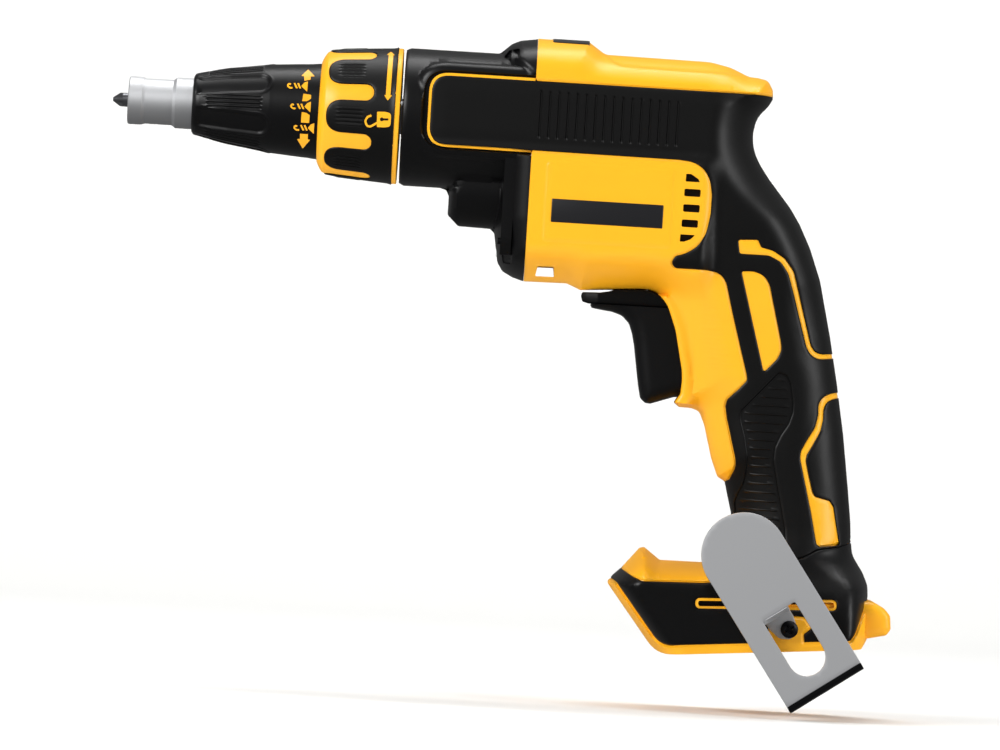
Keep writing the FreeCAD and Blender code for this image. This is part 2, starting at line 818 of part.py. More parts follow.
def make_drive():
    """Spindle, thrust washer, clutch spring, drive gear and the bushes they run in."""
    rear = "spindle_rear_radius"
    shaft = turned("spindle_blank", [
        ("spindle_front", "0"),
        ("spindle_front", "spindle_radius"),
        (FLANGE_FRONT, "spindle_radius"),
        (FLANGE_FRONT, "flange_radius"),
        (FLANGE_BACK, "flange_radius"),
        (FLANGE_BACK, rear),
        ("spindle_back", rear),
        ("spindle_back", "0"),
    ])
    socket = hexagon("spindle_socket", "spindle_front", "spindle_front + shank_length",
                     "bit_flats + socket_clearance")
    dogs = dog_ring("spindle_dog", value(FLANGE_BACK))
    node(cut("spindle_cut", fuse("spindle_dogged", [shaft] + dogs), [socket]), "spindle")

    washer_back = f"{WASHER_FRONT} + washer_thickness"
    washer = rod("washer_disc", "X", WASHER_FRONT, washer_back, "washer_radius")
    hole = rod("washer_hole", "X", WASHER_FRONT, washer_back, "spindle_radius + run_clearance")
    node(cut("washer_cut", washer, [hole]), "thrust_washer")

    spring = coil_spring(value(FLANGE_BACK), value(GEAR_FRONT), value("spring_radius"),
                         value("spring_wire_radius"), int(value("spring_turns")))
    node(formed("clutch_coil", spring), "clutch_spring")

    front = value(GEAR_FRONT)
    half_tooth = 0.5
    wheel = formed("gear_wheel", tooth_wheel(int(value("gear_teeth")), value("gear_addendum"),
                                             value(GEAR_DEDENDUM), front, value(GEAR_BACK), half_tooth))
    hub_back = "plate_front - free_gap"
    hub = rod("gear_hub", "X", GEAR_BACK, hub_back, "gear_hub_radius")
    dogs = dog_ring("gear_dog", value(GEAR_DOG_FRONT))
    bore = rod("gear_bore", "X", GEAR_FRONT, hub_back, f"{rear} + run_clearance")
    node(cut("gear_cut", fuse("gear_blank", [wheel, hub] + dogs), [bore]), "drive_gear")

    bush_back = "front_bush_front + front_bush_length"
    bush = rod("front_bush_body", "X", "front_bush_front", bush_back, "spigot_bore_radius")
    bore = rod("front_bush_bore", "X", "front_bush_front", bush_back, "spindle_radius + run_clearance")
    node(cut("front_bush_cut", bush, [bore]), "spindle_front_bush")
    bush = rod("rear_bush_body", "X", "plate_front", PLATE_BACK, "rear_bush_radius")
    bore = rod("rear_bush_bore", "X", "plate_front", PLATE_BACK, f"{rear} + run_clearance")
    node(cut("rear_bush_cut", bush, [bore]), "spindle_rear_bush")


def mirrored(half):
    """Half an outline and its mirror image across the middle, as one closed outline."""
    return half + [(f"-({across})", up) for across, up in half[::-1]]


def section_outline(inset):
    """The body's cross-section, drawn in by an inset."""
    return mirrored([
        (f"top_half_width - {inset} / 2", f"hump_top - {inset}"),
        (f"shoulder_half_width - {inset} * 3 / 4", f"shoulder_height - {inset} * 3 / 4"),
        (f"grip_half_width - {inset}", f"grip_top - {inset} / 2"),
        (f"grip_half_width - {inset}", "grip_bottom"),
        (f"motor_half_width - {inset}", "motor_side_top"),
        (f"motor_half_width - {inset}", f"motor_side_bottom + {inset} / 2"),
        (f"motor_bilge_half_width - {inset} * 3 / 4", f"motor_bilge_height + {inset} * 3 / 4"),
        (f"motor_floor_half_width - {inset} / 2", f"body_bottom + {inset}"),
    ])


def section_prism(name, inset, start, end):
    """The body's cross-section drawn out along X, with its corners rounded."""
    rounds = [(corner, "section_round") for corner in (1, 2, 5, 6, 9, 10, 13, 14)]
    return padded(name, "YZ_Plane", section_outline(inset), f"({end}) - ({start})", start, rounds)


def side_relief(name, region, ridge):
    """What is taken off both sides: a region of the side view less the ridge left standing along X."""
    span = padded(name + "_region", "XZ_Plane", region, "foot_half_width * 3")
    core = padded(name + "_ridge", "YZ_Plane", mirrored(ridge), "body_back * 2", "0")
    return cut(name, span, [core])


def make_gear_case():
    """Gear case with its nose spigot, the plate that closes it, their screws and the work light."""
    barrel = turned("case_barrel", [
        ("spigot_front", "0"),
        ("spigot_front", "spigot_radius"),
        ("hub_front", "spigot_radius"),
        ("hub_front", "hub_radius"),
        ("case_front", "hub_radius"),
        ("case_front", "case_radius - case_chamfer"),
        ("case_front + case_chamfer", "case_radius"),
        ("case_back", "case_radius"),
        ("case_back", "0"),
    ])
    side = padded("case_side", "XZ_Plane", [
        ("hump_front", "grip_top"),
        ("hump_front", "case_radius"),
        ("hump_step", "hump_rise"),
        ("case_back", "hump_top"),
        ("case_back", "body_bottom"),
        ("chin_heel", "body_bottom + case_chamfer"),
        ("chin_edge", "chin_low"),
        ("chin_front", "chin_top"),
    ], "motor_half_width * 2", None, [(5, "chin_round"), (6, "chin_round")])
    rear = common("case_rear", [side, section_prism("case_section", "0", "hump_front", "case_back")])
    boss = rod("case_boss", "X", "boss_front", "chin_edge", "boss_radius", "0", MOTOR_AXIS)
    outside = fuse("case_outside", [barrel, rear, boss])
    recess = common("case_recess", [
        section_prism("case_inner_section", "wall", "plate_front", "case_back"),
        block("case_recess_limit", ("plate_front", "case_back"), both("motor_half_width"),
              ("plate_bottom", "plate_top")),
    ])
    bush_back = "pinion_bush_front + pinion_bush_length"
    screws = screw_rods("case_screw_hole", "case_screw_front", "plate_front", "case_screw_radius")
    node(cut("case_cut", outside, [
        recess,
        rod("case_chamber", "X", "chamber_front", "plate_front", "chamber_radius"),
        rod("case_bore", "X", "spigot_front", "chamber_front", "spigot_bore_radius"),
        rod("case_pinion_pocket", "X", bush_back, "plate_front", "pinion_pocket_radius", "0", MOTOR_AXIS),
        rod("case_bush_pocket", "X", "pinion_bush_front", bush_back, "pinion_bush_radius", "0", MOTOR_AXIS),
        rod("case_lens_hole", "X", "boss_front", "plate_front", "lens_radius", "0", "lens_height"),
    ] + screws), "gear_case")
    node(rod("lens_body", "X", "lens_front", "plate_front", "lens_radius", "0", "lens_height"), "light_lens")

    plate = common("plate_blank", [
        section_prism("plate_section", "wall", "plate_front", PLATE_BACK),
        block("plate_limit", ("plate_front", PLATE_BACK), both("motor_half_width"),
              ("plate_bottom", "plate_top")),
    ])
    node(cut("plate_cut", plate, [
        rod("plate_bush_hole", "X", "plate_front", PLATE_BACK, "rear_bush_radius"),
        rod("plate_bearing_hole", "X", "plate_front", PLATE_BACK, "motor_bearing_radius", "0", MOTOR_AXIS),
    ] + screw_rods("plate_screw_hole", "plate_front", PLATE_BACK, "case_screw_radius")), "gear_plate")

    shanks = screw_rods("case_screw_shank", "case_screw_front", PLATE_BACK, "case_screw_radius")
    heads = screw_rods("case_screw_head", PLATE_BACK, f"{PLATE_BACK} + case_screw_head_length",
                       "case_screw_head_radius")
    pairs = [fuse(f"case_screw_{place}", list(pair)) for place, pair in enumerate(zip(shanks, heads))]
    node(group("case_screws", pairs), "gear_case_screws")


def screw_rods(name, start, end, radius):
    """One rod along X at each of the gear case's four screws."""
    spots = [(f"{sign}case_screw_{row}_side", f"case_screw_{row}")
             for row in ("high", "low") for sign in ("", "-")]
    return [rod(f"{name}_{place}", "X", start, end, radius, side, up)
            for place, (side, up) in enumerate(spots)]


def make_motor():
    """Rotor, shaft, pinion, fan, stator, coils, sensor board and bearings, on the motor's own axis."""
    height = value(MOTOR_AXIS)
    axis = V(1, 0, 0)
    node(rod("shaft_body", "X", "shaft_front", "shaft_back", "shaft_radius", "0", MOTOR_AXIS), "rotor_shaft")
    core = rod("rotor_body", "X", "rotor_front", "rotor_back", "rotor_radius", "0", MOTOR_AXIS)
    hole = rod("rotor_hole", "X", "rotor_front", "rotor_back", "shaft_radius", "0", MOTOR_AXIS)
    node(cut("rotor_cut", core, [hole]), "rotor_core")

    wheel = tooth_wheel(int(value("pinion_teeth")), value("pinion_addendum"), value(PINION_DEDENDUM),
                        value("pinion_front"), value("pinion_back"), 0.0)
    wheel.translate(V(0, 0, height))
    hole = rod("pinion_hole", "X", "pinion_front", "pinion_back", "shaft_radius", "0", MOTOR_AXIS)
    node(cut("pinion_cut", formed("pinion_wheel", wheel), [hole]), "motor_pinion")

    front = value("fan_front")
    depth = value("fan_back") - front
    blade_width = value("fan_blade_width")
    blade = Part.makeBox(depth, blade_width, value("fan_radius") - value("fan_hub_radius") / 2,
                         V(front, -blade_width / 2, height + value("fan_hub_radius") / 2))
    blade.rotate(V(front, 0, height + value("fan_hub_radius")), axis, value("fan_blade_tilt"))
    inside = Part.makeCylinder(value("fan_radius"), depth, V(front, 0, height), axis)
    blades = ring_of("fan_blade", blade.common(inside), int(value("fan_blades")), 0, height)
    disc = rod("fan_back_plate", "X", "fan_front", "fan_front + fan_disc", "fan_radius", "0", MOTOR_AXIS)
    hub = rod("fan_hub", "X", "fan_front", "fan_back", "fan_hub_radius", "0", MOTOR_AXIS)
    hole = rod("fan_hole", "X", "fan_front", "fan_back", "shaft_radius", "0", MOTOR_AXIS)
    node(cut("fan_cut", fuse("fan_blank", [disc, hub] + blades), [hole]), "cooling_fan")

    length = value("stator_back") - value("stator_front")
    start = V(value("stator_front"), 0, height)
    width = value("tooth_width")
    ring_inner = value("stator_radius") - value("stator_yoke")
    yoke = rod("stator_yoke", "X", "stator_front", "stator_back", "stator_radius", "0", MOTOR_AXIS)
    slot = rod("stator_slot", "X", "stator_front", "stator_back", "stator_radius - stator_yoke",
               "0", MOTOR_AXIS)
    bore = Part.makeCylinder(value("stator_bore_radius"), length, start, axis)
    within = Part.makeCylinder(ring_inner + value("stator_yoke") / 2, length, start, axis)
    tall = Part.makeBox(length, width, ring_inner + value("stator_yoke"), start.add(V(0, -width / 2, 0)))
    tooth = tall.common(within).cut(bore)
    count = int(value("coil_count"))
    teeth = ring_of("stator_tooth", tooth, count, 0, height)
    node(fuse("stator_blank", [cut("stator_ring", yoke, [slot])] + teeth), "stator_core")

    coil_start = value(COIL_FRONT)
    coil_length = value(COIL_BACK) - coil_start
    coil_width = value("coil_width")
    coil_low = height + value("coil_inner")
    coil_rise = value("coil_outer") - value("coil_inner")
    coil = Part.makeBox(coil_length, coil_width, coil_rise, V(coil_start, -coil_width / 2, coil_low))
    gap = Part.makeBox(length, width, coil_rise, V(value("stator_front"), -width / 2, coil_low))
    node(group("coils", ring_of("coil", coil.cut(gap), count, 0, height)), "stator_coils")

    board_back = f"{COIL_BACK} + board_thickness"
    board = rod("board_disc", "X", COIL_BACK, board_back, "board_radius", "0", MOTOR_AXIS)
    hole = rod("board_hole", "X", COIL_BACK, board_back, "board_bore_radius", "0", MOTOR_AXIS)
    node(cut("board_cut", board, [hole]), "sensor_board")

    seats = (
        ("pinion_bush", "pinion_bush_front", "pinion_bush_front + pinion_bush_length", "pinion_bush_radius"),
        ("motor_front_bearing", "plate_front", PLATE_BACK, "motor_bearing_radius"),
        ("motor_rear_bearing", "rear_bearing_front", "rear_bearing_front + rear_bearing_length",
         "motor_bearing_radius"),
    )
    for label, near, far, radius in seats:
        body = rod(label + "_body", "X", near, far, radius, "0", MOTOR_AXIS)
        hole = rod(label + "_hole", "X", near, far, "shaft_radius + run_clearance", "0", MOTOR_AXIS)
        node(cut(label + "_cut", body, [hole]), label)


def handle_loft(name, inset):
    """The handle as one smooth skin over level sections, fuller at the back, drawn in by an inset."""
    rings = []
    for word, *_ in HANDLE_STATIONS:
        middle = f"(handle_{word}_back - handle_{word}_reach)"
        fore = f"{middle} - handle_{word}_front - {inset}"
        aft = f"handle_{word}_reach - {inset}"
        arcs = []
        for end, length, first, last in (("fore", fore, 90, 270), ("aft", aft, 270, 90)):
            arc = doc.addObject("Part::Ellipse", f"{name}_{word}_{end}")
            arc.Angle1 = first
            arc.Angle2 = last
            bind(arc, MajorRadius=length, MinorRadius=f"handle_{word}_half - {inset}")
            bind(arc, Placement__Base__x=middle, Placement__Base__z=f"handle_{word}_height")
            arcs.append(arc)
        rings.append(group(f"{name}_{word}", arcs))
    loft = doc.addObject("Part::Loft", name)
    loft.Sections = rings
    loft.Solid = True
    loft.Ruled = False
    return loft


def body_form(name, inset):
    """Upper body and motor housing: side outline, cross-section and rounded tail, drawn in by an inset."""
    side = padded(name + "_side", "XZ_Plane", [
        ("case_back", f"body_bottom + {inset}"),
        ("case_back", f"hump_top - {inset}"),
        ("body_hump_end", f"hump_top - {inset}"),
        ("body_slope_end", f"body_top - {inset}"),
        ("body_tail_start", f"body_top - {inset}"),
        (f"body_tail - {inset}", f"body_tail_height - {inset}"),
        (f"body_back - {inset}", f"body_back_top - {inset}"),
        (f"body_back - {inset}", f"body_back_low + {inset} / 2"),
        (f"body_neck - {inset}", "body_neck_height"),
        (f"panel_back - {inset}", "band_low"),
        (f"panel_back - {inset}", "panel_back_low"),
        ("panel_notch", f"body_bottom + {inset}"),
    ], "motor_half_width * 2", None, [(2, "tail_round"), (3, "tail_round"), (6, "case_chamfer")])
    section = section_prism(name + "_section", inset, "case_back", "body_back")
    oval = doc.addObject("Part::Ellipse", name + "_tail_oval")
    bind(oval, MajorRadius=f"body_back - body_round_start + case_chamfer - {inset}",
         MinorRadius=f"motor_half_width + face_gap - {inset}", Placement__Base__x="body_round_start",
         Placement__Base__z="body_bottom")
    tail = doc.addObject("Part::Extrusion", name + "_tail")
    tail.Base = oval
    tail.Dir = V(0, 0, 1)
    tail.Solid = True
    bind(tail, LengthFwd="hump_top - body_bottom")
    front = block(name + "_front", ("case_back", "body_round_start"), both("motor_half_width"),
                  ("body_bottom", "hump_top"))
    scoop = side_relief(name + "_scoop", [
        (f"scoop_front - {inset}", "hump_top * 2"),
        (f"scoop_front - {inset}", "scoop_low + scoop_front_run"),
        (f"scoop_front + scoop_front_run - {inset}", f"scoop_low - {inset}"),
        ("body_back * 2", f"scoop_low - {inset}"),
        ("body_back * 2", "hump_top * 2"),
    ], [
        (f"scoop_half_width - {inset}", "0"),
        (f"scoop_half_width - {inset}", f"scoop_low - {inset}"),
        (f"scoop_crest_half_width - {inset}", f"scoop_crest - {inset}"),
        (f"scoop_crest_half_width - {inset}", "hump_top * 3"),
    ])
    bulk = common(name + "_bulk", [side, section, fuse(name + "_plan", [tail, front])])
    return cut(name + "_body", bulk, [scoop])


def foot_spot(along, rise):
    """A place in the foot's tilted frame as X and Z expressions."""
    turn = "foot_tilt * pi / 180"
    x = f"foot_x + ({along}) * cos({turn} * 1rad) - ({rise}) * sin({turn} * 1rad)"
    z = f"foot_z + ({along}) * sin({turn} * 1rad) + ({rise}) * cos({turn} * 1rad)"
    return x, z


def foot_block(name, along, across, rise):
    """A box in the foot's tilted frame."""
    thing = doc.addObject("Part::Box", name)
    thing.Placement = FreeCAD.Placement(V(0, 0, 0), FreeCAD.Rotation(V(0, -1, 0), value("foot_tilt")))
    bind(thing, Length=f"({along[1]}) - ({along[0]})", Width=f"({across[1]}) - ({across[0]})",
         Height=f"({rise[1]}) - ({rise[0]})")
    x, z = foot_spot(along[0], rise[0])
    bind(thing, Placement__Base__x=x, Placement__Base__y=across[0], Placement__Base__z=z)
    return thing


def foot_form(name, inset):
    """The battery foot, its heel sloping up to the handle, drawn in at its sides by an inset."""
    side = padded(name + "_side", "XZ_Plane", [
        ("-foot_half_length", "0"),
        ("-foot_half_length", "foot_front_rise"),
        ("foot_nose", "foot_nose_rise"),
        ("foot_brow", "foot_brow_rise"),
        ("foot_horn", "foot_horn_rise"),
        ("foot_deck", "foot_deck_rise"),
        ("foot_half_length", "foot_deck_rise"),
        ("foot_back", "foot_back_rise"),
        ("foot_half_length", "0"),
    ], f"(foot_half_width - {inset}) * 2", None, [(2, "foot_edge_radius"), (6, "foot_edge_radius")])
    section = padded(name + "_section", "YZ_Plane", mirrored([
        (f"foot_half_width - {inset}", "-foot_band"),
        (f"foot_half_width - {inset}", "foot_side_rise"),
        (f"foot_side_top_half_width - {inset}", "foot_side_top"),
        (f"foot_horn_half_width - {inset}", "foot_horn_rise + foot_band"),
    ]), "foot_half_length * 4", "foot_nose * 2", [(1, "foot_edge_radius"), (6, "foot_edge_radius")])
    for body in (side, section):
        tilted(body)
    heel = side_relief(name + "_heel", [
        (f"heel_front_low - {inset}", "heel_low"),
        (f"heel_front_high - {inset}", "heel_high"),
        ("body_back * 2", "heel_high"),
        ("body_back * 2", "heel_low"),
    ], [
        (f"foot_half_width - {inset}", "heel_low * 2"),
        (f"foot_half_width - {inset}", "heel_low"),
        (f"heel_high_half_width - {inset}", "heel_high"),
        (f"heel_high_half_width - {inset}", "0"),
    ])
    return cut(name, common(name + "_bulk", [side, section]), [heel])


def tilted(body):
    """Set a body down in the foot's tilted frame."""
    body.Placement = FreeCAD.Placement(V(0, 0, 0), FreeCAD.Rotation(V(0, -1, 0), value("foot_tilt")))
    bind(body, Placement__Base__x="foot_x", Placement__Base__z="foot_z")


def make_housing():
    """Left and right clamshells, their black grips, foot covers, bumper, screws and bare plates."""
    outer_body = body_form("outer", "0")
    outer_handle = handle_loft("outer_handle", "0")
    foot = foot_form("outer_foot", "0")
    upper = fuse("upper_outside", [outer_body, outer_handle])
    outside = fuse("outside", [upper, foot])
    under = fuse("upper_core", [body_form("core", "skin"), handle_loft("core_handle", "skin")])
    foot_core = foot_form("core_foot", "skin")

    region = padded("grip_region", "XZ_Plane", [
        ("case_back", "band_top"),
        ("body_back * 2", "band_top"),
        ("body_back * 2", "foot_z"),
        ("cheek_front", "foot_z"),
        ("cheek_front", "cheek_front_low"),
        ("cheek_end", "cheek_end_low"),
        ("cheek_turn", "cheek_turn_low"),
        ("cheek_tip", "cheek_tip_low"),
        ("cheek_back", "cheek_back_low"),
        ("panel_notch", "panel_notch_low"),
        ("panel_back", "panel_back_low"),
        ("panel_back", "panel_back_top"),
        ("panel_back - panel_corner", "band_low"),
        ("case_back", "band_low"),
    ], "foot_half_width * 2")
    skin = common("grip_skin", [cut("upper_skin", upper, [under]), region])
    skin = cut("grip_trimmed", skin, [foot])
    cover_region = padded("cover_region", "XZ_Plane", [
        ("-foot_half_length + foot_band", "foot_band"),
        ("foot_nose + foot_band * 2", "foot_nose_rise - foot_band / 2"),
        ("cover_step", "foot_nose_rise"),
        ("cover_step + cover_step_run", "foot_horn_rise"),
        ("foot_back * 2", "foot_horn_rise"),
        ("foot_back * 2", "foot_back_rise"),
        ("foot_half_length - foot_band", "foot_back_rise"),
        ("foot_half_length - foot_band", "foot_band"),
    ], "foot_half_width * 2")
    tilted(cover_region)
    covers = common("cover_skin", [cut("foot_skin", foot, [foot_core]), cover_region])

    cavity = fuse("cavity", [body_form("inner", "wall"), handle_loft("inner_handle", "wall")])
    ribs = housing_ribs()
    hollows = [
        cut("ribbed_cavity", cavity, [ribs]),
        foot_block("channel", ("foot_nose * 2", "channel_back"), both("channel_half_width"),
                   ("channel_lip", "channel_top")),
        foot_block("channel_mouth", ("foot_nose * 2", "channel_back"), both("channel_lip_half_width"),
                   ("-foot_band", "channel_lip")),
        common("bay", [
            foot_form("inner_foot", "wall"),
            foot_block("bay_limit", ("bay_front", "foot_half_length - wall"), both("bay_half_width"),
                       ("bay_floor", "foot_deck_rise - wall")),
        ]),
        block("mouth", ("mouth_front", "switch_front"), both("mouth_half_width"),
              ("mouth_bottom", "mouth_top")),
    ]
    for side, span in (("left", ("-motor_half_width * 2", "-grip_half_width + wall * 2")),
                       ("right", ("grip_half_width - wall * 2", "motor_half_width * 2"))):
        for place in range(int(value("vent_count"))):
            middle = f"vent_first - vent_pitch * {place}"
            hollows.append(block(f"vent_{side}_{place}", ("vent_front", "vent_back"), span,
                                 (f"{middle} - vent_height / 2", f"{middle} + vent_height / 2")))
    shell = cut("shell", outside, hollows)
    shell = cut("bare_shell", shell, [skin, covers])
    posts = [spot_rod(f"post_{place}", place, both("foot_half_width"), "screw_boss_radius")
             for place in range(len(SCREW_SPOTS))]
    held = common("posts", [fuse("post_rods", posts), fuse("post_limit", [under, foot_core])])
    held = cut("posts_trimmed", held, hollows[1:4])
    shell = fuse("posted_shell", [shell, held])

    bumper = padded("bumper_pad", "XZ_Plane", [
        ("foot_half_length + foot_band", "bumper_low"),
        ("bumper_back - foot_band / 2", "bumper_low"),
        ("bumper_back", "bumper_low + foot_band"),
        ("bumper_back - foot_band", "bumper_high"),
        ("foot_half_length + foot_band", "bumper_high + foot_band"),
    ], "bumper_half_width * 2")
    tilted(bumper)
    node(cut("bumper_cut", bumper, [foot]), "foot_bumper")

    sides = (("left", ("-foot_half_width * 2", "0"), "-"), ("right", ("0", "foot_half_width * 2"), ""))
    for label, span, sign in sides:
        half = block(f"half_{label}", ("0", "body_back * 2"), span, ("foot_z * 2", "hump_top * 2"))
        insert = hook_rod(f"insert_seat_{label}", f"{sign}(foot_half_width - skin)",
                          f"{sign}(foot_half_width - skin - insert_length)", "insert_radius")
        tools = [insert] + screw_tools(label)
        node(cut(f"housing_{label}_cut", common(f"housing_{label}_half", [shell, half]), tools),
             f"housing_{label}")
        node(common(f"grip_{label}_half", [skin, half]), f"grip_{label}")
        node(cut(f"cover_{label}_cut", common(f"cover_{label}_half", [covers, half]),
                 [hook_rod(f"cover_hole_{label}", f"{sign}foot_half_width * 2", "0", "insert_radius")]),
             f"foot_cover_{label}")

    shanks = [spot_rod(f"screw_shank_{place}", place, ("screw_tip", "screw_seat"), "screw_radius")
              for place in range(len(SCREW_SPOTS))]
    heads = [spot_rod(f"screw_head_{place}", place, ("screw_seat", "screw_seat + screw_head_length"),
                      "screw_head_radius") for place in range(len(SCREW_SPOTS))]
    pairs = [fuse(f"screw_{place}", list(pair)) for place, pair in enumerate(zip(shanks, heads))]
    node(group("screws", pairs), "housing_screws")

    plates = [block("plate_left", ("side_plate_front", "side_plate_back"),
                    ("-motor_half_width - plate_thickness", "-motor_half_width"),
                    ("side_plate_low", "side_plate_top")),
              block("plate_right", ("side_plate_front", "side_plate_back"),
                    ("motor_half_width", "motor_half_width + plate_thickness"),
                    ("side_plate_low", "side_plate_top"))]
    node(group("side_plate_pair", plates), "side_plates")


def spot_rod(name, place, span, radius):
    """A rod across the housing at one of its screws."""
    return rod(name, "Y", span[0], span[1], radius, f"screw_along_{place}_place", f"screw_up_{place}_place")


def screw_tools(label):
    """What the housing screws take out of one half."""
    tools = []
    for place in range(len(SCREW_SPOTS)):
        if label == "left":
            tools.append(spot_rod(f"screw_pilot_{place}", place, ("screw_tip", "0"), "screw_radius"))
        else:
            tools.append(spot_rod(f"screw_path_{place}", place, ("0", "screw_seat"),
                                  "screw_radius + screw_hole_clearance"))
            tools.append(spot_rod(f"screw_sink_{place}", place, ("screw_seat", "foot_half_width * 2"),
                                  "screw_head_radius + screw_head_clearance"))
    return tools


def housing_ribs():
    """Cross walls inside the shells that hold the stator, the rear bearing and the switch."""
    wide = both("motor_half_width")
    slabs = []
    for word in ("first", "second"):
        slab = block(f"rib_{word}_slab", (f"rib_{word}", f"rib_{word} + rib_width"), wide,
                     ("body_bottom", f"{MOTOR_AXIS} + stator_radius"))
        hole = rod(f"rib_{word}_hole", "X", f"rib_{word}", f"rib_{word} + rib_width", "stator_radius",
                   "0", MOTOR_AXIS)
        slabs.append(cut(f"rib_{word}_cut", slab, [hole]))
    bearing_back = "rear_bearing_front + rear_bearing_length"
    slab = block("rib_bearing_slab", ("rear_bearing_front", bearing_back), wide,
                 (f"{MOTOR_AXIS} - stator_radius", f"{MOTOR_AXIS} + stator_radius"))
    hole = rod("rib_bearing_hole", "X", "rear_bearing_front", bearing_back, "motor_bearing_radius",
               "0", MOTOR_AXIS)
    slabs.append(cut("rib_bearing_cut", slab, [hole]))
    slab = block("rib_switch_slab", ("switch_rib", "switch_rib + rib_width"), wide,
                 ("switch_bottom - rib_width", "switch_top"))
    slabs.append(cut("rib_switch_cut", slab, [switch_block("rib_switch_hole")]))
    return fuse("ribs", slabs)


def switch_block(name):
    """The switch's outer box."""
    return block(name, ("switch_front", "switch_back"), both("switch_half_width"),
                 ("switch_bottom", "switch_top"))


def make_controls():
    """Trigger, its plunger and spring, the switch, the reversing lever and its pin."""
    node(padded("trigger_pad", "XZ_Plane", [
        ("trigger_nose", "trigger_top"),
        ("trigger_back", "trigger_top"),
        ("trigger_back", "trigger_low + trigger_toe_rise"),
        ("trigger_toe", "trigger_low"),
        ("trigger_scoop", "trigger_scoop_low"),
        ("trigger_brow", "trigger_brow_low"),
    ], "trigger_half_width * 2", None, [(3, "trigger_toe_round"), (4, "trigger_scoop_round")]), "trigger")
    plunger_end = "trigger_back + plunger_length"
    node(rod("plunger_body", "X", "trigger_back", plunger_end, "plunger_radius", "0", "plunger_height"),
         "trigger_plunger")
    bore = rod("switch_bore", "X", "switch_front", f"{plunger_end} + trigger_travel + free_gap",
               "plunger_radius + run_clearance", "0", "plunger_height")
    node(cut("switch_cut", switch_block("switch_body"), [bore]), "trigger_switch")
    spring = coil_spring(value("trigger_back"), value("switch_front"), value("return_spring_radius"),
                         value("return_spring_wire"), int(value("return_spring_turns")))
    spring.translate(V(0, 0, value("plunger_height")))
    node(formed("return_coil", spring), "trigger_spring")

    lever_low = "lever_top - lever_thickness"
    plate = padded("lever_pad", "XY_Plane", [
        ("lever_front", "-lever_tip_half_width"),
        ("lever_neck", "-lever_half_width"),
        ("lever_pivot + lever_tail", "-lever_half_width"),
        ("lever_pivot + lever_tail", "lever_half_width"),
        ("lever_neck", "lever_half_width"),
        ("lever_front", "lever_tip_half_width"),
    ], "lever_thickness", lever_low)
    hole = rod("lever_hole", "Z", lever_low, "lever_top", "lever_pin_radius + run_clearance",
               "lever_pivot", "0")
    node(cut("lever_cut", plate, [hole]), "reverse_lever")
    node(rod("lever_pin_body", "Z", "switch_top", "lever_top", "lever_pin_radius", "lever_pivot", "0"),
         "lever_pin")


def make_electronics():
    """Control module in the foot's bay and the battery terminals in the channel below it."""
    node(foot_block("module_body", ("module_front", "module_back"), both("module_half_width"),
                    ("bay_floor", "bay_floor + module_height")), "control_module")
    node(foot_block("terminal_body", ("terminal_front", "channel_back"), both("terminal_half_width"),
                    ("terminal_low", "channel_top")), "terminal_block")
    blades = []
    for place in range(int(value("blade_count"))):
        middle = f"(blade_pitch * ({place} - (blade_count - 1) / 2))"
        blades.append(foot_block(f"blade_{place}", ("terminal_front - blade_reach", "terminal_front"),
                                 (f"{middle} - blade_thickness / 2", f"{middle} + blade_thickness / 2"),
                                 ("blade_low", "blade_high")))
    node(group("blades", blades), "terminal_blades")


def hook_spot(across, down):
    """A place in the hook's tilted frame as X and Z expressions."""
    turn = "hook_tilt * pi / 180 * 1rad"
    x = f"hook_x + ({across}) * cos({turn}) + ({down}) * sin({turn})"
    z = f"hook_z + ({across}) * sin({turn}) - ({down}) * cos({turn})"
    return x, z


def hook_rod(name, start, end, radius, down="hook_hole"):
    """A rod across the tool on the hook's middle line."""
    x, z = hook_spot("0", down)
    first, last = (start, end) if value(start) < value(end) else (end, start)
    return rod(name, "Y", first, last, radius, x, z)


def hook_block(name, across, ys, down):
    """A box in the hook's tilted frame."""
    thing = doc.addObject("Part::Box", name)
    thing.Placement = FreeCAD.Placement(V(0, 0, 0), FreeCAD.Rotation(V(0, -1, 0), value("hook_tilt")))
    bind(thing, Length=f"({across[1]}) - ({across[0]})", Width=f"({ys[1]}) - ({ys[0]})",
         Height=f"({down[1]}) - ({down[0]})")
    x, z = hook_spot(across[0], down[1])
    bind(thing, Placement__Base__x=x, Placement__Base__y=ys[0], Placement__Base__z=z)
    return thing


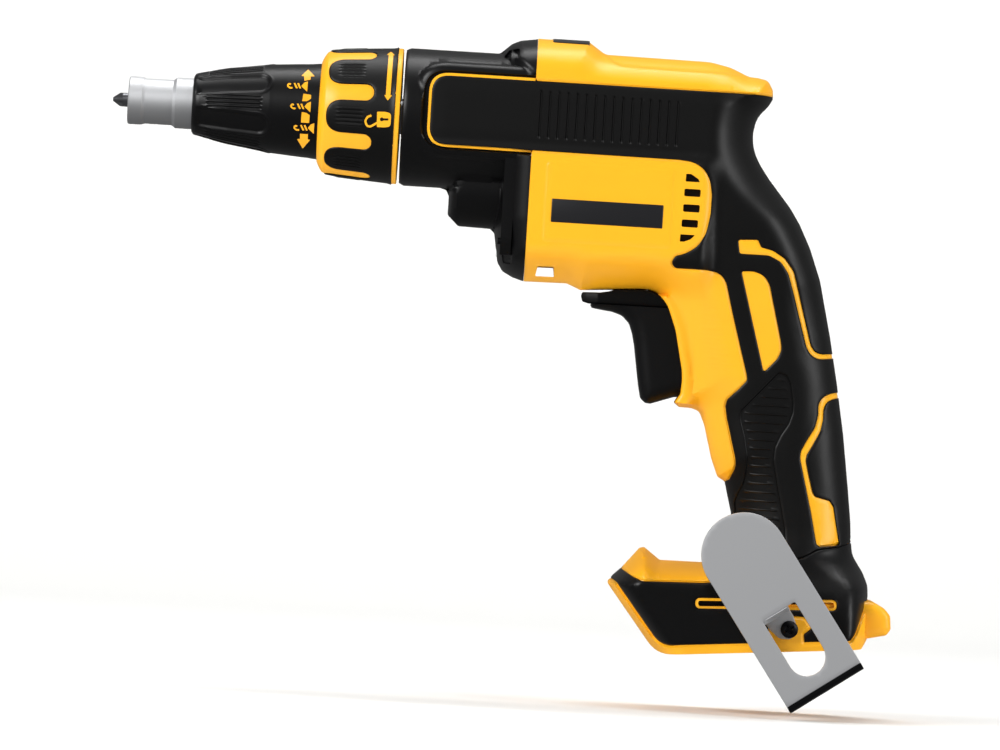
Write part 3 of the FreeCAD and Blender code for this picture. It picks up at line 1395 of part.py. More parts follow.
def make_hook():
    """Belt hook of bent sheet steel, its screw and the threaded inserts in both sides of the foot."""
    seat = "-foot_half_width"
    sheet_back = f"{seat} - hook_stand_off"
    sheet_front = f"{sheet_back} - hook_thickness"
    slab = hook_block("hook_slab", both("hook_half_width"), (sheet_front, sheet_back), ("0", "hook_length"))
    crown = hook_rod("hook_crown", sheet_front, sheet_back, "hook_half_width", "0")
    flange = hook_block("hook_lip", both("hook_half_width"), (sheet_front, f"{sheet_back} + hook_flange"),
                        ("hook_length - hook_thickness", "hook_length"))
    slot = hook_block("hook_slot", both("hook_slot_half_width"), (sheet_front, sheet_back),
                      ("hook_slot_top", "hook_slot_bottom"))
    web = hook_block("hook_web", both("hook_tongue_half_width"), (sheet_front, seat),
                     ("hook_slot_top", "hook_slot_top + hook_thickness"))
    tongue = hook_block("hook_tongue", both("hook_tongue_half_width"), (f"{seat} - hook_thickness", seat),
                        ("hook_slot_top", "hook_tongue_bottom"))
    plate = cut("hook_plate", fuse("hook_outline", [slab, crown, flange]), [slot])
    hole = hook_rod("hook_screw_hole", f"{seat} - hook_thickness", seat, "hook_screw_radius")
    node(cut("hook_cut", fuse("hook_bent", [plate, web, tongue]), [hole]), "belt_hook")

    shank_end = "-(foot_half_width - skin - insert_length)"
    under_head = f"{seat} - hook_thickness"
    shank = hook_rod("hook_screw_shank", under_head, shank_end, "insert_bore")
    head = hook_rod("hook_screw_head", f"{under_head} - hook_head_length", under_head, "hook_head_radius")
    node(fuse("hook_screw_body", [head, shank]), "hook_screw")
    inserts = []
    for sign in ("-", ""):
        outer = f"{sign}(foot_half_width - skin)"
        inner = f"{sign}(foot_half_width - skin - insert_length)"
        body = hook_rod(f"insert_body_{len(inserts)}", outer, inner, "insert_radius")
        bore = hook_rod(f"insert_bore_{len(inserts)}", outer, inner, "insert_bore")
        inserts.append(cut(f"insert_cut_{len(inserts)}", body, [bore]))
    node(group("inserts", inserts), "hook_inserts")


make_nose()
make_drive()
make_gear_case()
make_motor()
make_housing()
make_controls()
make_electronics()
make_hook()
doc.recompute()

for thing in doc.Objects:
    if "Invalid" in thing.State or "Error" in thing.State:
        raise SystemExit(f"{thing.Name} failed: {thing.State}")
for label, thing in nodes.items():
    if thing.Shape.isNull() or not thing.Shape.isValid() or not thing.Shape.Solids:
        raise SystemExit(f"{label} has no valid solid")

os.makedirs("parts", exist_ok=True)
for label, thing in nodes.items():
    thing.Shape.exportStep(f"parts/{label}.step")
    print(f"{label}: {len(thing.Shape.Solids)} solids, {thing.Shape.Volume:.1f} mm3")
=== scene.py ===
import math

import bmesh
import bpy
import numpy as np
from mathutils import Matrix, Vector
from mathutils.geometry import delaunay_2d_cdt


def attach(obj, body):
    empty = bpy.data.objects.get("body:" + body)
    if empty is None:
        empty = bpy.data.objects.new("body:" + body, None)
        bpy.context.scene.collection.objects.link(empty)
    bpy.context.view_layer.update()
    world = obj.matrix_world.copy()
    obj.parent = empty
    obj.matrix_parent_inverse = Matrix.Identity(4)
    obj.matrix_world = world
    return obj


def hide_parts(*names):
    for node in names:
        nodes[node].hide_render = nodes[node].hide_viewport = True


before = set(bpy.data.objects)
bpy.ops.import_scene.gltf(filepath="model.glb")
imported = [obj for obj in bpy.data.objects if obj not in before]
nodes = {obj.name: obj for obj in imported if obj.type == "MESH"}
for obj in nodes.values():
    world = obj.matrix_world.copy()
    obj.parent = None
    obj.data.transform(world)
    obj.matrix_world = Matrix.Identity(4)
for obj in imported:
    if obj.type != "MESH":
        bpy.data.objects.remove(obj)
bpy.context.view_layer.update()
mm = 0.001
print("stage: frame loaded")

# How finely lines are drawn and flat meshes filled and welded
lineSizes = {"edgeShare": 0.49, "leastReach": 0.02, "turnStep": math.radians(11), "leastStep": 1e-3,
             "ringSlack": 0.03, "ringShare": 0.04, "strokeStep": 0.4}
fillSizes = {"rowShare": 0.87, "ringClear": 0.45, "merge": 0.13, "fineMargin": 0.07, "gridMargin": 0.4}
meshSizes = {"weld": 1.5e-6, "sliver": 1e-6, "cut": 1e-7, "flat": math.radians(0.8), "crease": math.radians(40)}


# Small helpers for curves, distances and soft steps, all in millimetres
def ease(low, high, value):
    t = np.clip((value - low) / (high - low), 0.0, 1.0)
    return t * t * (3.0 - 2.0 * t)


def bulge(t):
    return np.sqrt(1.0 - (1.0 - np.clip(t, 0.0, 1.0)) ** 2)


def softMax(a, b, reach):
    mix = np.clip(0.5 + 0.5 * (a - b) / reach, 0.0, 1.0)
    return b + (a - b) * mix + reach * mix * (1.0 - mix) * 0.5


def roundedLine(corners, radius, step, closed=True):
    # A line through corners, each rounded by its own third value or by the common radius
    spots = []
    count = len(corners)
    for place, corner in enumerate(corners):
        here = np.array(corner[:2], float)
        own = corner[2] if len(corner) > 2 else radius
        if not closed and place in (0, count - 1):
            spots.append(here)
            continue
        back = np.array(corners[place - 1][:2], float) - here
        ahead = np.array(corners[(place + 1) % count][:2], float) - here
        backLength = np.linalg.norm(back)
        aheadLength = np.linalg.norm(ahead)
        back /= backLength
        ahead /= aheadLength
        turn = math.acos(float(np.clip(-back @ ahead, -1.0, 1.0)))
        reach = min(own * math.tan(turn / 2), lineSizes["edgeShare"] * min(backLength, aheadLength))
        if reach < lineSizes["leastReach"]:
            spots.append(here)
            continue
        parts = max(2, math.ceil(turn / lineSizes["turnStep"]))
        for part in range(parts + 1):
            t = part / parts
            before = (here + back * reach) * (1 - t) ** 2
            beyond = (here + ahead * reach) * t * t
            spots.append(before + here * 2 * t * (1 - t) + beyond)
    line = []
    for place in range(len(spots) if closed else len(spots) - 1):
        start = spots[place]
        end = spots[(place + 1) % len(spots)]
        parts = max(1, math.ceil(np.linalg.norm(end - start) / step))
        line += [start + (end - start) * part / parts for part in range(parts)]
    if not closed:
        line.append(spots[-1])
    line = np.array(line)
    line = line[np.linalg.norm(line - np.roll(line, 1, axis=0), axis=1) > lineSizes["leastStep"]]
    ahead = np.roll(line, -1, axis=0)
    area = np.sum(line[:, 0] * ahead[:, 1] - ahead[:, 0] * line[:, 1])
    return line[::-1] if closed and area < 0 else line


def arcLine(centre, radius, first, last, count):
    angles = np.radians(np.linspace(first, last, count))
    return [(centre[0] + radius * math.cos(a), centre[1] + radius * math.sin(a), 0.0) for a in angles]


def circleLoop(centre, radius, steps, spacing):
    return roundedLine(arcLine(centre, radius, 0, 360 - 360 / steps, steps), 0, spacing)


def strokeLoop(line, width):
    # The outline of a stroke drawn along an open line
    side = lineNormals(line, False) * width / 2
    around = np.concatenate([line + side, (line - side)[::-1]])
    return roundedLine([(*spot, 0.0) for spot in around], 0.0, lineSizes["strokeStep"])


def lineDistance(points, line, closed=True):
    best = np.full(len(points), 1e9)
    ends = np.roll(line, -1, axis=0) if closed else line[1:]
    starts = line if closed else line[:-1]
    for start, end in zip(starts, ends):
        along = end - start
        size = along @ along
        off = points - start
        t = np.clip(off @ along / size, 0.0, 1.0)
        off = off - t[:, None] * along
        best = np.minimum(best, off[:, 0] ** 2 + off[:, 1] ** 2)
    return np.sqrt(best)


def inside(points, loop):
    across, up = points[:, 0], points[:, 1]
    flag = np.zeros(len(points), bool)
    for (startAcross, startUp), (endAcross, endUp) in zip(loop, np.roll(loop, -1, axis=0)):
        if startUp != endUp:
            spans = (startUp > up) != (endUp > up)
            meets = (endAcross - startAcross) * (up - startUp) / (endUp - startUp) + startAcross
            flag ^= spans & (across < meets)
    return flag


def depthIn(points, loop):
    # Distance inside a closed loop, negative outside it
    return np.where(inside(points, loop), 1.0, -1.0) * lineDistance(points, loop)


def lineNormals(line, closed=True):
    # Unit vectors to the left of the line's own direction
    if closed:
        along = np.roll(line, -1, axis=0) - np.roll(line, 1, axis=0)
    else:
        along = np.gradient(line, axis=0)
    along /= np.linalg.norm(along, axis=1)[:, None]
    return np.stack([-along[:, 1], along[:, 0]], axis=1)


def ringPoints(line, offsets, closed=True):
    # Points beside a line at set distances from it, where the line itself is no nearer than that
    normals = lineNormals(line, closed)
    found = []
    for offset in offsets:
        spots = line + normals * offset
        near = lineDistance(spots, line, closed)
        slack = lineSizes["ringSlack"] + lineSizes["ringShare"] * abs(offset)
        found.append(spots[np.abs(near - abs(offset)) < slack])
    return np.concatenate(found)


def gridPoints(low, high, acrossStep, upStep):
    across = np.arange(low[0], high[0] + 1e-6, acrossStep)
    up = np.arange(low[1], high[1] + 1e-6, upStep)
    spots = np.stack(np.meshgrid(across, up), axis=2)
    spots[1::2, :, 0] += acrossStep / 2
    return spots.reshape(-1, 2)


def meshPoints(columns, rows):
    return np.stack(np.meshgrid(columns, rows), axis=2).reshape(-1, 2)


def fillPoints(outline, cell, rings=(), cutouts=(), patches=()):
    # Points for a flat mesh: fine ones beside lines, those of the patches, then an even grid over the rest.
    # A ring is a line and distances beside it, with False as its third value where the line is open.
    fine = [ringPoints(*ring) for ring in rings] + [patch[0] for patch in patches]
    grid = gridPoints(outline.min(axis=0), outline.max(axis=0), cell, cell * fillSizes["rowShare"])
    for line, offsets, *closed in rings:
        clear = max(abs(offset) for offset in offsets) + fillSizes["ringClear"] * cell
        grid = grid[lineDistance(grid, line, *closed) > clear]
    for points, (left, low, right, high) in patches:
        out = (grid[:, 0] < left) | (grid[:, 0] > right) | (grid[:, 1] < low) | (grid[:, 1] > high)
        grid = grid[out]
    fine = np.concatenate(fine) if fine else np.zeros((0, 2))
    cells = np.round(fine / fillSizes["merge"]).astype(int)
    fine = fine[np.unique(cells, axis=0, return_index=True)[1]]
    points = np.concatenate([fine, grid])
    keep = inside(points, outline)
    isFine = np.arange(len(points)) < len(fine)
    margin = np.where(isFine, fillSizes["fineMargin"], fillSizes["gridMargin"] * cell)
    for loop in [outline, *cutouts]:
        keep &= lineDistance(points, loop) > margin
    for loop in cutouts:
        keep &= ~inside(points, loop)
    return points[keep]


def flatMesh(outline, cutouts, points):
    coords = []
    edges = []
    for loop in [outline] + list(cutouts):
        start = len(coords)
        coords += [Vector(spot) for spot in loop]
        edges += [(start + place, start + (place + 1) % len(loop)) for place in range(len(loop))]
    coords += [Vector(spot) for spot in points]
    found = delaunay_2d_cdt(coords, edges, [], 0, 1e-5)
    flat = np.array([spot[:] for spot in found[0]])
    faces = np.array(found[2])
    middles = flat[faces].mean(axis=1)
    keep = inside(middles, outline)
    for loop in cutouts:
        keep &= ~inside(middles, loop)
    return flat, faces[keep]


def shell(outline, points, top, under, place, cutouts=()):
    # A closed skin between two height fields over a flat outline
    flat, faces = flatMesh(outline, cutouts, points)
    count = len(flat)
    verts = np.concatenate([place(flat, top(flat)), place(flat, under(flat))])
    seen = set()
    for a, b, c in faces:
        seen.update(((a, b), (b, c), (c, a)))
    skin = [tuple(face) for face in faces]
    skin += [tuple(face[::-1] + count) for face in faces]
    skin += [(b, a, a + count, b + count) for a, b in seen if (b, a) not in seen]
    return verts, skin


def evenShell(outline, points, top):
    # A closed skin that is the same on both sides of the tool's middle
    return shell(outline, points, top, lambda flat: -top(flat), onSide)


def level(height):
    return lambda points: np.full(len(points), height)


def onSide(points, height):
    # The left side of the tool, seen from low Y
    return np.stack([points[:, 0], -height, points[:, 1]], axis=1)


def mirrored(verts, faces):
    return verts * np.array([1.0, -1.0, 1.0]), [tuple(face[::-1]) for face in faces]


def joined(*parts):
    verts = []
    faces = []
    count = 0
    for partVerts, partFaces in parts:
        verts.append(partVerts)
        faces += [tuple(int(spot) + count for spot in face) for face in partFaces]
        count += len(partVerts)
    return np.concatenate(verts), faces


def newObject(name, verts, faces):
    mesh = bpy.data.meshes.new(name)
    spots = [tuple(spot) for spot in verts * mm]
    mesh.from_pydata(spots, [], [tuple(int(place) for place in face) for face in faces])
    obj = bpy.data.objects.new(name, mesh)
    bpy.context.scene.collection.objects.link(obj)
    return obj


def piece(name, verts, faces, slotName, body="housing", replaced=(), sharp=36, outward=False):
    obj = newObject(name, verts, faces)
    work = bmesh.new()
    work.from_mesh(obj.data)
    bmesh.ops.remove_doubles(work, verts=work.verts, dist=meshSizes["weld"])
    bmesh.ops.dissolve_degenerate(work, edges=work.edges, dist=meshSizes["sliver"])
    if outward:
        bmesh.ops.recalc_face_normals(work, faces=work.faces)
    work.to_mesh(obj.data)
    work.free()
    return finished(obj, slotName, body, replaced, sharp)


def finished(obj, slotName, body="housing", replaced=(), sharp=36):
    obj.data.materials.clear()
    obj.data.materials.append(finishes[slotName])
    obj.data.shade_smooth()
    obj.data.set_sharp_from_angle(angle=math.radians(sharp))
    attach(obj, body)
    if replaced:
        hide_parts(*replaced)
    return obj


def splitFaces(work):
    bmesh.ops.triangulate(work, faces=[face for face in work.faces if len(face.verts) > 4])


def closeHoles(work):
    bmesh.ops.holes_fill(work, edges=[edge for edge in work.edges if edge.is_boundary])


def meshData(work):
    # A work mesh's points and faces, after which it is freed
    splitFaces(work)
    work.verts.index_update()
    verts = np.array([spot.co[:] for spot in work.verts])
    faces = [tuple(spot.index for spot in face.verts) for face in work.faces]
    work.free()
    return verts, faces


def fromNode(name, nodeName, slotName, edge):
    # A CAD node's own shape, with its sharp edges broken
    obj = bpy.data.objects.new(name, nodes[nodeName].data.copy())
    bpy.context.scene.collection.objects.link(obj)
    work = bmesh.new()
    work.from_mesh(obj.data)
    bmesh.ops.remove_doubles(work, verts=work.verts, dist=meshSizes["sliver"])
    bmesh.ops.dissolve_limit(work, angle_limit=meshSizes["flat"], verts=work.verts, edges=work.edges)
    sharpEdges = [line for line in work.edges
                  if len(line.link_faces) == 2 and line.calc_face_angle(0.0) > meshSizes["crease"]]
    bmesh.ops.bevel(work, geom=sharpEdges, offset=edge * mm, offset_type="OFFSET", segments=3, profile=0.5,
                    affect="EDGES", clamp_overlap=True)
    splitFaces(work)
    work.to_mesh(obj.data)
    work.free()
    return finished(obj, slotName, replaced=(nodeName,))


# Materials
def linear(hexText):
    parts = [int(hexText[place:place + 2], 16) / 255 for place in (1, 3, 5)]
    return [p / 12.92 if p <= 0.04045 else ((p + 0.055) / 1.055) ** 2.4 for p in parts] + [1.0]


def addNode(tree, kind, settings=None, links=None, **values):
    # One node: its settings by attribute, its input values by socket, its links as socket to (node, output)
    made = tree.nodes.new(kind)
    for key, value in (settings or {}).items():
        setattr(made, key, value)
    for key, value in values.items():
        made.inputs[key.replace("_", " ")].default_value = value
    for key, (source, output) in (links or {}).items():
        tree.links.new(source.outputs[output], made.inputs[key])
    return made


grainSizes = {"broad": 22.0, "coatRough": 0.12}


def surface(name, colour, rough, metal=0.0, grain=0.0, grainSize=0.4, mottle=0.0, roughRange=0.0, coat=0.0,
            gloss=0.5):
    # A material whose grain is in real millimetres: bump, a little colour mottle and uneven gloss
    made = bpy.data.materials.new(name)
    made.use_nodes = True
    tree = made.node_tree
    tree.nodes.clear()
    if grain or mottle or roughRange:
        place = addNode(tree, "ShaderNodeTexCoord")
    if grain or roughRange:
        fine = addNode(tree, "ShaderNodeTexNoise", None, {"Vector": (place, "Object")},
                       Scale=1 / (grainSize * mm), Detail=2.0, Roughness=0.5)
    shader = addNode(tree, "ShaderNodeBsdfPrincipled", None, None, Metallic=metal)
    if not metal:
        shader.inputs["Specular IOR Level"].default_value = gloss
    tint = linear(colour)
    if mottle:
        # Sockets 6 and 7 of a colour mix are its two colours, and output 2 is the mixed one
        shade = [part * (1 - mottle) for part in tint[:3]] + [1.0]
        broad = addNode(tree, "ShaderNodeTexNoise", None, {"Vector": (place, "Object")},
                        Scale=1 / (grainSizes["broad"] * mm), Detail=3.0, Roughness=0.55)
        mix = addNode(tree, "ShaderNodeMix", {"data_type": "RGBA"}, {0: (broad, "Fac")})
        mix.inputs[6].default_value = tint
        mix.inputs[7].default_value = shade
        tree.links.new(mix.outputs[2], shader.inputs["Base Color"])
    else:
        shader.inputs["Base Color"].default_value = tint
    if roughRange:
        uneven = addNode(tree, "ShaderNodeMapRange", None, {"Value": (fine, "Fac")},
                        To_Min=rough - roughRange, To_Max=rough + roughRange)
        tree.links.new(uneven.outputs[0], shader.inputs["Roughness"])
    else:
        shader.inputs["Roughness"].default_value = rough
    if grain:
        bump = addNode(tree, "ShaderNodeBump", None, {"Height": (fine, "Fac")},
                       Strength=1.0, Distance=grain * mm)
        tree.links.new(bump.outputs[0], shader.inputs["Normal"])
    if coat:
        shader.inputs["Coat Weight"].default_value = coat
        shader.inputs["Coat Roughness"].default_value = grainSizes["coatRough"]
    addNode(tree, "ShaderNodeOutputMaterial", None, {"Surface": (shader, "BSDF")})
    return made


finishes = {
    # Injection-moulded nylon dyed through, lightly spark-textured: a warm yellow with a soft broad sheen
    "yellow_nylon": surface("yellow nylon moulded", "#FCB31D", 0.36, grain=0.006, grainSize=0.35, mottle=0.05,
                            gloss=0.35),
    # Soft-touch elastomer moulded over the shell: near black, dull, highlights spread wide and grey
    "black_rubber": surface("black elastomer overmoulded", "#090909", 0.42, grain=0.008, grainSize=0.3,
                            mottle=0.1, gloss=0.25),
    # Glass-filled nylon from a polished tool: a little glossier than the rubber; the dark sheets behind the
    # vents use it as painted shade
    "black_nylon": surface("black glass nylon moulded", "#080809", 0.36, grain=0.005, mottle=0.1, gloss=0.25),
    # Cold-rolled strip, tumbled: even light grey metal with a fine dull grain
    "bright_steel": surface("bright strip steel tumbled", "#DCDDDF", 0.55, 1.0, grain=0.003, grainSize=0.25,
                            roughRange=0.04),
    # Die-cast sleeve, bead blasted: pale metal that sparkles in small specks
    "satin_zinc": surface("satin zinc bead blasted", "#CBCCCE", 0.55, 1.0, grain=0.02, grainSize=0.22,
                          roughRange=0.1),
    # Hardened bit steel: mid grey with a slightly oily gloss
    "tool_steel": surface("hardened tool steel ground", "#77787B", 0.3, 1.0, grain=0.002, grainSize=0.2),
    # Turned steel: clean grey metal, fairly bright
    "machined_steel": surface("machined steel turned", "#9C9EA1", 0.28, 1.0, grain=0.002, grainSize=0.2),
    # Case-hardened gear steel: darker and dull from heat
    "gear_steel": surface("gear steel hardened", "#6E6F72", 0.36, 1.0, grain=0.003, grainSize=0.3),
    # Drawn spring wire: grey with a smooth sheen
    "spring_steel": surface("spring wire drawn", "#8A8B8E", 0.3, 1.0),
    # Black oxide on screws: charcoal metal with a dull sheen; on the belt hook's bend the same finish is
    # painted shade
    "black_oxide_steel": surface("black oxide steel", "#2A2A2C", 0.42, 1.0, grain=0.004, grainSize=0.25),
    # Sintered bronze bushes: brown-gold, matt
    "bearing_bronze": surface("sintered bronze", "#A8743C", 0.5, 1.0, grain=0.006, grainSize=0.2),
    # Turned brass threads: bright yellow metal
    "brass_insert": surface("brass turned", "#C9A24B", 0.28, 1.0),
    # Stacked lamination steel: dull dark grey
    "lamination_steel": surface("lamination steel stacked", "#5C5D60", 0.5, 1.0, grain=0.01, grainSize=0.5),
    # Nickel-plated magnet: a warm, almost mirror-like silver
    "magnet_nickel": surface("magnet nickel plated", "#B9B6AE", 0.2, 1.0),
    # Enamelled copper windings: glossy red brown
    "copper_enamel": surface("copper wire enamelled", "#A4532A", 0.25, 1.0, grain=0.02, grainSize=0.6),
    # Solder-masked board: deep green, half glossy
    "board_green": surface("circuit board solder masked", "#1E5B33", 0.35, mottle=0.1),
    # Clear polycarbonate lens, read as pale and glossy
    "lens_clear": surface("polycarbonate lens moulded", "#D8DCDD", 0.12, coat=0.5),
    # Potting compound: black and smooth, with a clear shine
    "potting_black": surface("potting compound cast", "#0E0E0F", 0.3, mottle=0.1),
    # Coated plate: flat black, smooth and half glossy
    "plate_black": surface("plate black coated", "#17171A", 0.32, grain=0.002, grainSize=0.3),
}
print("stage: materials made")

# The body, handle and foot as seen from the side: one outline, and the half width over it
topLine = [(149.5, 31.9, 0.3), (168.3, 31.8, 2.5), (174.6, 27.5, 4.5), (213.4, 27.1, 15), (220.9, 25.6, 14),
           (228.2, 22.5, 5), (231.5, 22.3, 4), (235.3, 21.5, 3), (237.3, 18.0, 3)]
backLine = [(237.5, 14.7, 2), (235.9, 11.8), (233.1, 8.8), (231.7, 6.0), (230.9, 1.9), (231.2, -2.6),
            (232.5, -6.6), (234.4, -10.0), (237.8, -14.8), (246.3, -25.0), (250.3, -31.1), (254.6, -39.7),
            (259.0, -51.3), (264.0, -72.1), (267.6, -89.3), (271.0, -107.6), (274.0, -127.8), (275.6, -139.5),
            (276.2, -147.2)]
heelLine = [(277.0, -151.8), (281.1, -157.8), (283.3, -162.4), (283.6, -167.0), (283.8, -172.0),
            (284.0, -181.7, 2)]
footFront = [(187.1, -167.3, 1.5), (189.0, -164.4, 2), (192.0, -161.5, 1), (198.3, -153.8, 0.8),
             (200.0, -153.4, 0.8), (206.0, -157.8, 1.5), (222.9, -157.7, 5), (230.5, -150.0, 8)]
handleFront = [(231.6, -140.0), (229.5, -132.4), (228.2, -127.4, 2), (225.4, -125.8, 2), (222.7, -119.1),
               (219.4, -107.1), (217.3, -102.2, 3), (214.6, -101.1), (209.6, -101.0, 1.2),
               (207.8, -99.3, 0.8), (209.7, -96.0, 2), (210.0, -91.0), (209.7, -87.3), (206.5, -72.7),
               (203.0, -63.6), (199.5, -59.8, 5), (195.7, -58.5), (192.7, -58.6), (170.6, -60.0, 2),
               (165.4, -57.9, 3), (149.5, -58.1, 0.3)]
footBottom = [(281.3, -185.6, 1), (206.4, -192.0, 9)]
farPoint = {"front": 95.0, "low": -217.0, "lowFront": 225.9}
softRadius = 9
fineStep = 1.1

sideLoop = roundedLine([(farPoint["front"], topLine[0][1])] + topLine + backLine + heelLine
                       + [(heelLine[-1][0], farPoint["low"]), (farPoint["lowFront"], farPoint["low"])]
                       + footFront + handleFront + [(farPoint["front"], handleFront[-1][1])],
                       softRadius, fineStep)
baseCorners = topLine + backLine + heelLine + footBottom + footFront + handleFront

# Pairs here and below are where a soft step starts and where it is full
bodySizes = {
    "heights": [-176.0, -171.0, -164.0, -156.0, -148.0, -132.0, -112.0, -96.0, -72.0, -51.0, -31.0, -15.0,
                -8.0],
    "halves": [33.0, 31.8, 27.0, 20.6, 17.6, 16.9, 17.2, 17.5, 18.6, 20.6, 22.6, 24.0, 24.3],
    "blendShifts": (-5, -2.5, 0, 2.5, 5),
    "footHalf": 33.0,
    "footFore": (236, 222),
    "footDown": (-150, -156),
    "motorHalf": 26.3,
    "motorFore": (220, 213),
    "motorTop": (-7.5, -12.5),
    "motorLow": (-62, -46),
    "bodyRound": 14.0,
    "bodyUp": (-66, -46),
    "handleRound": 20.0,
    "tailRound": 23.0,
    "tailBack": (205, 234),
    "tailLow": (-32, -8),
    "tailTop": (17, 12),
    "footRound": 9.0,
    "roundDown": (-150, -164),
    "shellWall": 2.6,
    "rubberWall": 1.6,
    "rubberStep": 0.5,
    "rubberEdge": 0.8,
    "edgeHold": (0.0, 3.0),
    "seamSink": 0.9,
    "seamDepth": 0.15,
}


def mixed(low, high, share):
    return low + (high - low) * share


def bodyStep(name, values):
    return ease(*bodySizes[name], values)


def sideWidth(points):
    across, up = points[:, 0], points[:, 1]
    shifts = bodySizes["blendShifts"]
    halves = [np.interp(up + shift, bodySizes["heights"], bodySizes["halves"]) for shift in shifts]
    half = sum(halves) / len(shifts)
    # The foot's front stays full width; only its heel flares from the handle
    half = mixed(half, bodySizes["footHalf"], bodyStep("footFore", across) * bodyStep("footDown", up))
    motor = bodyStep("motorFore", across) * bodyStep("motorTop", up) * bodyStep("motorLow", up)
    return mixed(half, bodySizes["motorHalf"], motor)


def sideRound(points):
    across, up = points[:, 0], points[:, 1]
    reach = mixed(bodySizes["handleRound"], bodySizes["bodyRound"], bodyStep("bodyUp", up))
    tail = bodyStep("tailBack", across) * bodyStep("tailLow", up) * bodyStep("tailTop", up)
    reach = mixed(reach, bodySizes["tailRound"], tail)
    return mixed(reach, bodySizes["footRound"], bodyStep("roundDown", up))


# The finger scoop along the top cover, a hollow with a crisp lower edge
scoopSizes = {
    "outline": [(173.2, 28.2), (176.2, 24.6), (180.2, 22.7), (190.0, 22.4), (214.6, 22.2), (224.0, 22.2),
                (229.0, 22.4), (221.0, 27.0), (213.4, 28.6)],
    "share": 0.17,
    "edge": (0.0, 1.1),
}
scoopLoop = roundedLine(scoopSizes["outline"], 3, fineStep)


def sideHeight(points, inset=0.0):
    deep = depthIn(points, sideLoop) - inset
    scoop = 1.0 - scoopSizes["share"] * ease(*scoopSizes["edge"], depthIn(points, scoopLoop))
    return (sideWidth(points) - inset) * bulge(deep / sideRound(points)) * scoop


def sideUnder(wall):
    return lambda points: sideHeight(points, wall)


# Outlines of the black overmould and of what shows through it
panelLine = [(229.6, -126.6, 1), (231.6, -121.9), (231.2, -118.6), (229.9, -113.9), (227.2, -104.0),
             (226.3, -99.6, 2), (226.9, -97.0, 2), (230.5, -93.3), (233.7, -89.6, 2), (233.2, -87.2, 3),
             (226.9, -65.9), (223.6, -53.8), (221.0, -51.0), (216.6, -50.3), (204.6, -50.2, 1.8),
             (203.0, -48.2, 1.8), (204.4, -45.6, 1.8), (208.2, -44.4), (212.6, -41.4), (215.2, -36.6),
             (216.4, -29.7), (216.4, -22.3), (215.4, -17.0), (212.9, -13.2), (209.0, -11.0), (203.5, -10.5),
             (150.0, -10.3), (140.0, -10.0)]
gripFront = [(111.4, -10.0, 6.6), (111.4, 15.6, 6.6)]
lowSeam = [(271.4, -148.9), (263.5, -150.2), (257.5, -153.6), (246.0, -156.4), (231.4, -148.6, 0.5)]
gripLoop = roundedLine(gripFront + [(236.9, 15.4, 0.3)] + backLine + lowSeam + handleFront[:3] + panelLine,
                       softRadius, fineStep)
lowSeamLine = roundedLine([backLine[-1]] + lowSeam, softRadius, fineStep, False)
seamGap = 0.02
coverStart = (276.3, backLine[-1][1] - seamGap, 0.3)
coverSeam = [(across, up - seamGap) for across, up in lowSeam[-2::-1]]
coverLoop = roundedLine([coverStart] + heelLine[:3]
                        + [(283.5, -166.8, 0.5), (281.9, -170.0, 1), (278.4, -180.4, 3), (276.9, -182.7, 1.5),
                           (259.9, -184.2, 0.5), (259.5, -181.1, 0.8), (262.5, -178.4, 1), (259.5, -175.0, 2),
                           (249.5, -175.0, 2), (246.6, -179.0, 2), (247.4, -185.2, 0.5), (207.6, -188.6, 8),
                           (190.0, -166.2, 3), (188.2, -165.4, 0.3), (189.0, -164.4, 2), (191.8, -161.7, 0.3),
                           (196.2, -164.0, 2), (199.4, -165.2, 3), (221.4, -164.6, 3), (233.0, -163.0, 3),
                           (236.5, -157.8, 3)] + coverSeam, softRadius, fineStep)
sideWindow = roundedLine([(229.3, -49.9, 0.6), (233.6, -49.6), (237.5, -50.9), (239.7, -54.2), (245.2, -74.9),
                          (245.6, -77.8), (244.4, -80.9), (239.7, -86.2, 0.8)], 6, fineStep)
upperTrim = roundedLine([(227.3, -38.4, 0.8), (234.4, -38.0, 1), (235.8, -40.7, 1), (240.1, -41.6),
                         (244.7, -44.2), (248.3, -48.6), (250.6, -56.1), (256.4, -75.5), (258.2, -77.9),
                         (260.8, -78.5), (266.6, -77.8, 0.1), (266.8, -79.5, 0.1), (259.6, -80.3),
                         (256.5, -78.7), (254.8, -75.6), (248.8, -56.2), (246.4, -49.3), (243.4, -45.3),
                         (238.9, -43.2), (228.2, -43.2, 0.8)], 5, fineStep)
lowerTrim = roundedLine([(270.4, -91.5, 0.1), (264.8, -92.8), (262.0, -94.4), (260.7, -96.9), (260.9, -100.8),
                         (260.0, -105.5), (257.0, -110.8), (255.1, -114.9), (255.2, -117.6), (256.4, -122.0),
                         (260.6, -137.9), (262.9, -148.0, 1), (264.2, -149.2, 1), (271.5, -148.2, 0.4),
                         (270.1, -142.0), (268.5, -134.4, 2), (266.9, -132.2, 2), (261.3, -131.0, 1),
                         (260.2, -129.4), (258.2, -122.6), (257.0, -117.8), (257.3, -115.6), (259.1, -112.4),
                         (261.9, -106.8), (262.7, -102.6), (262.6, -98.6), (263.5, -96.1), (265.6, -94.7),
                         (270.8, -93.6, 0.1)], 5, fineStep)
ribPanel = roundedLine([(245.4, -86.2, 1.5), (248.3, -87.2, 2), (249.8, -90.4), (251.1, -97.0),
                        (251.1, -100.5), (249.8, -104.8), (247.2, -109.1), (245.3, -113.8), (245.0, -118.5),
                        (246.4, -124.9), (250.7, -143.2), (251.6, -151.6, 1), (236.5, -149.0, 1),
                        (233.0, -142.0, 1), (232.2, -134.5, 1), (233.1, -131.6), (235.0, -127.5),
                        (235.7, -123.3), (235.7, -117.2), (234.4, -110.8), (232.4, -104.2),
                        (232.5, -101.0, 2), (238.0, -94.6)], 4, fineStep)
slotStep = 0.8
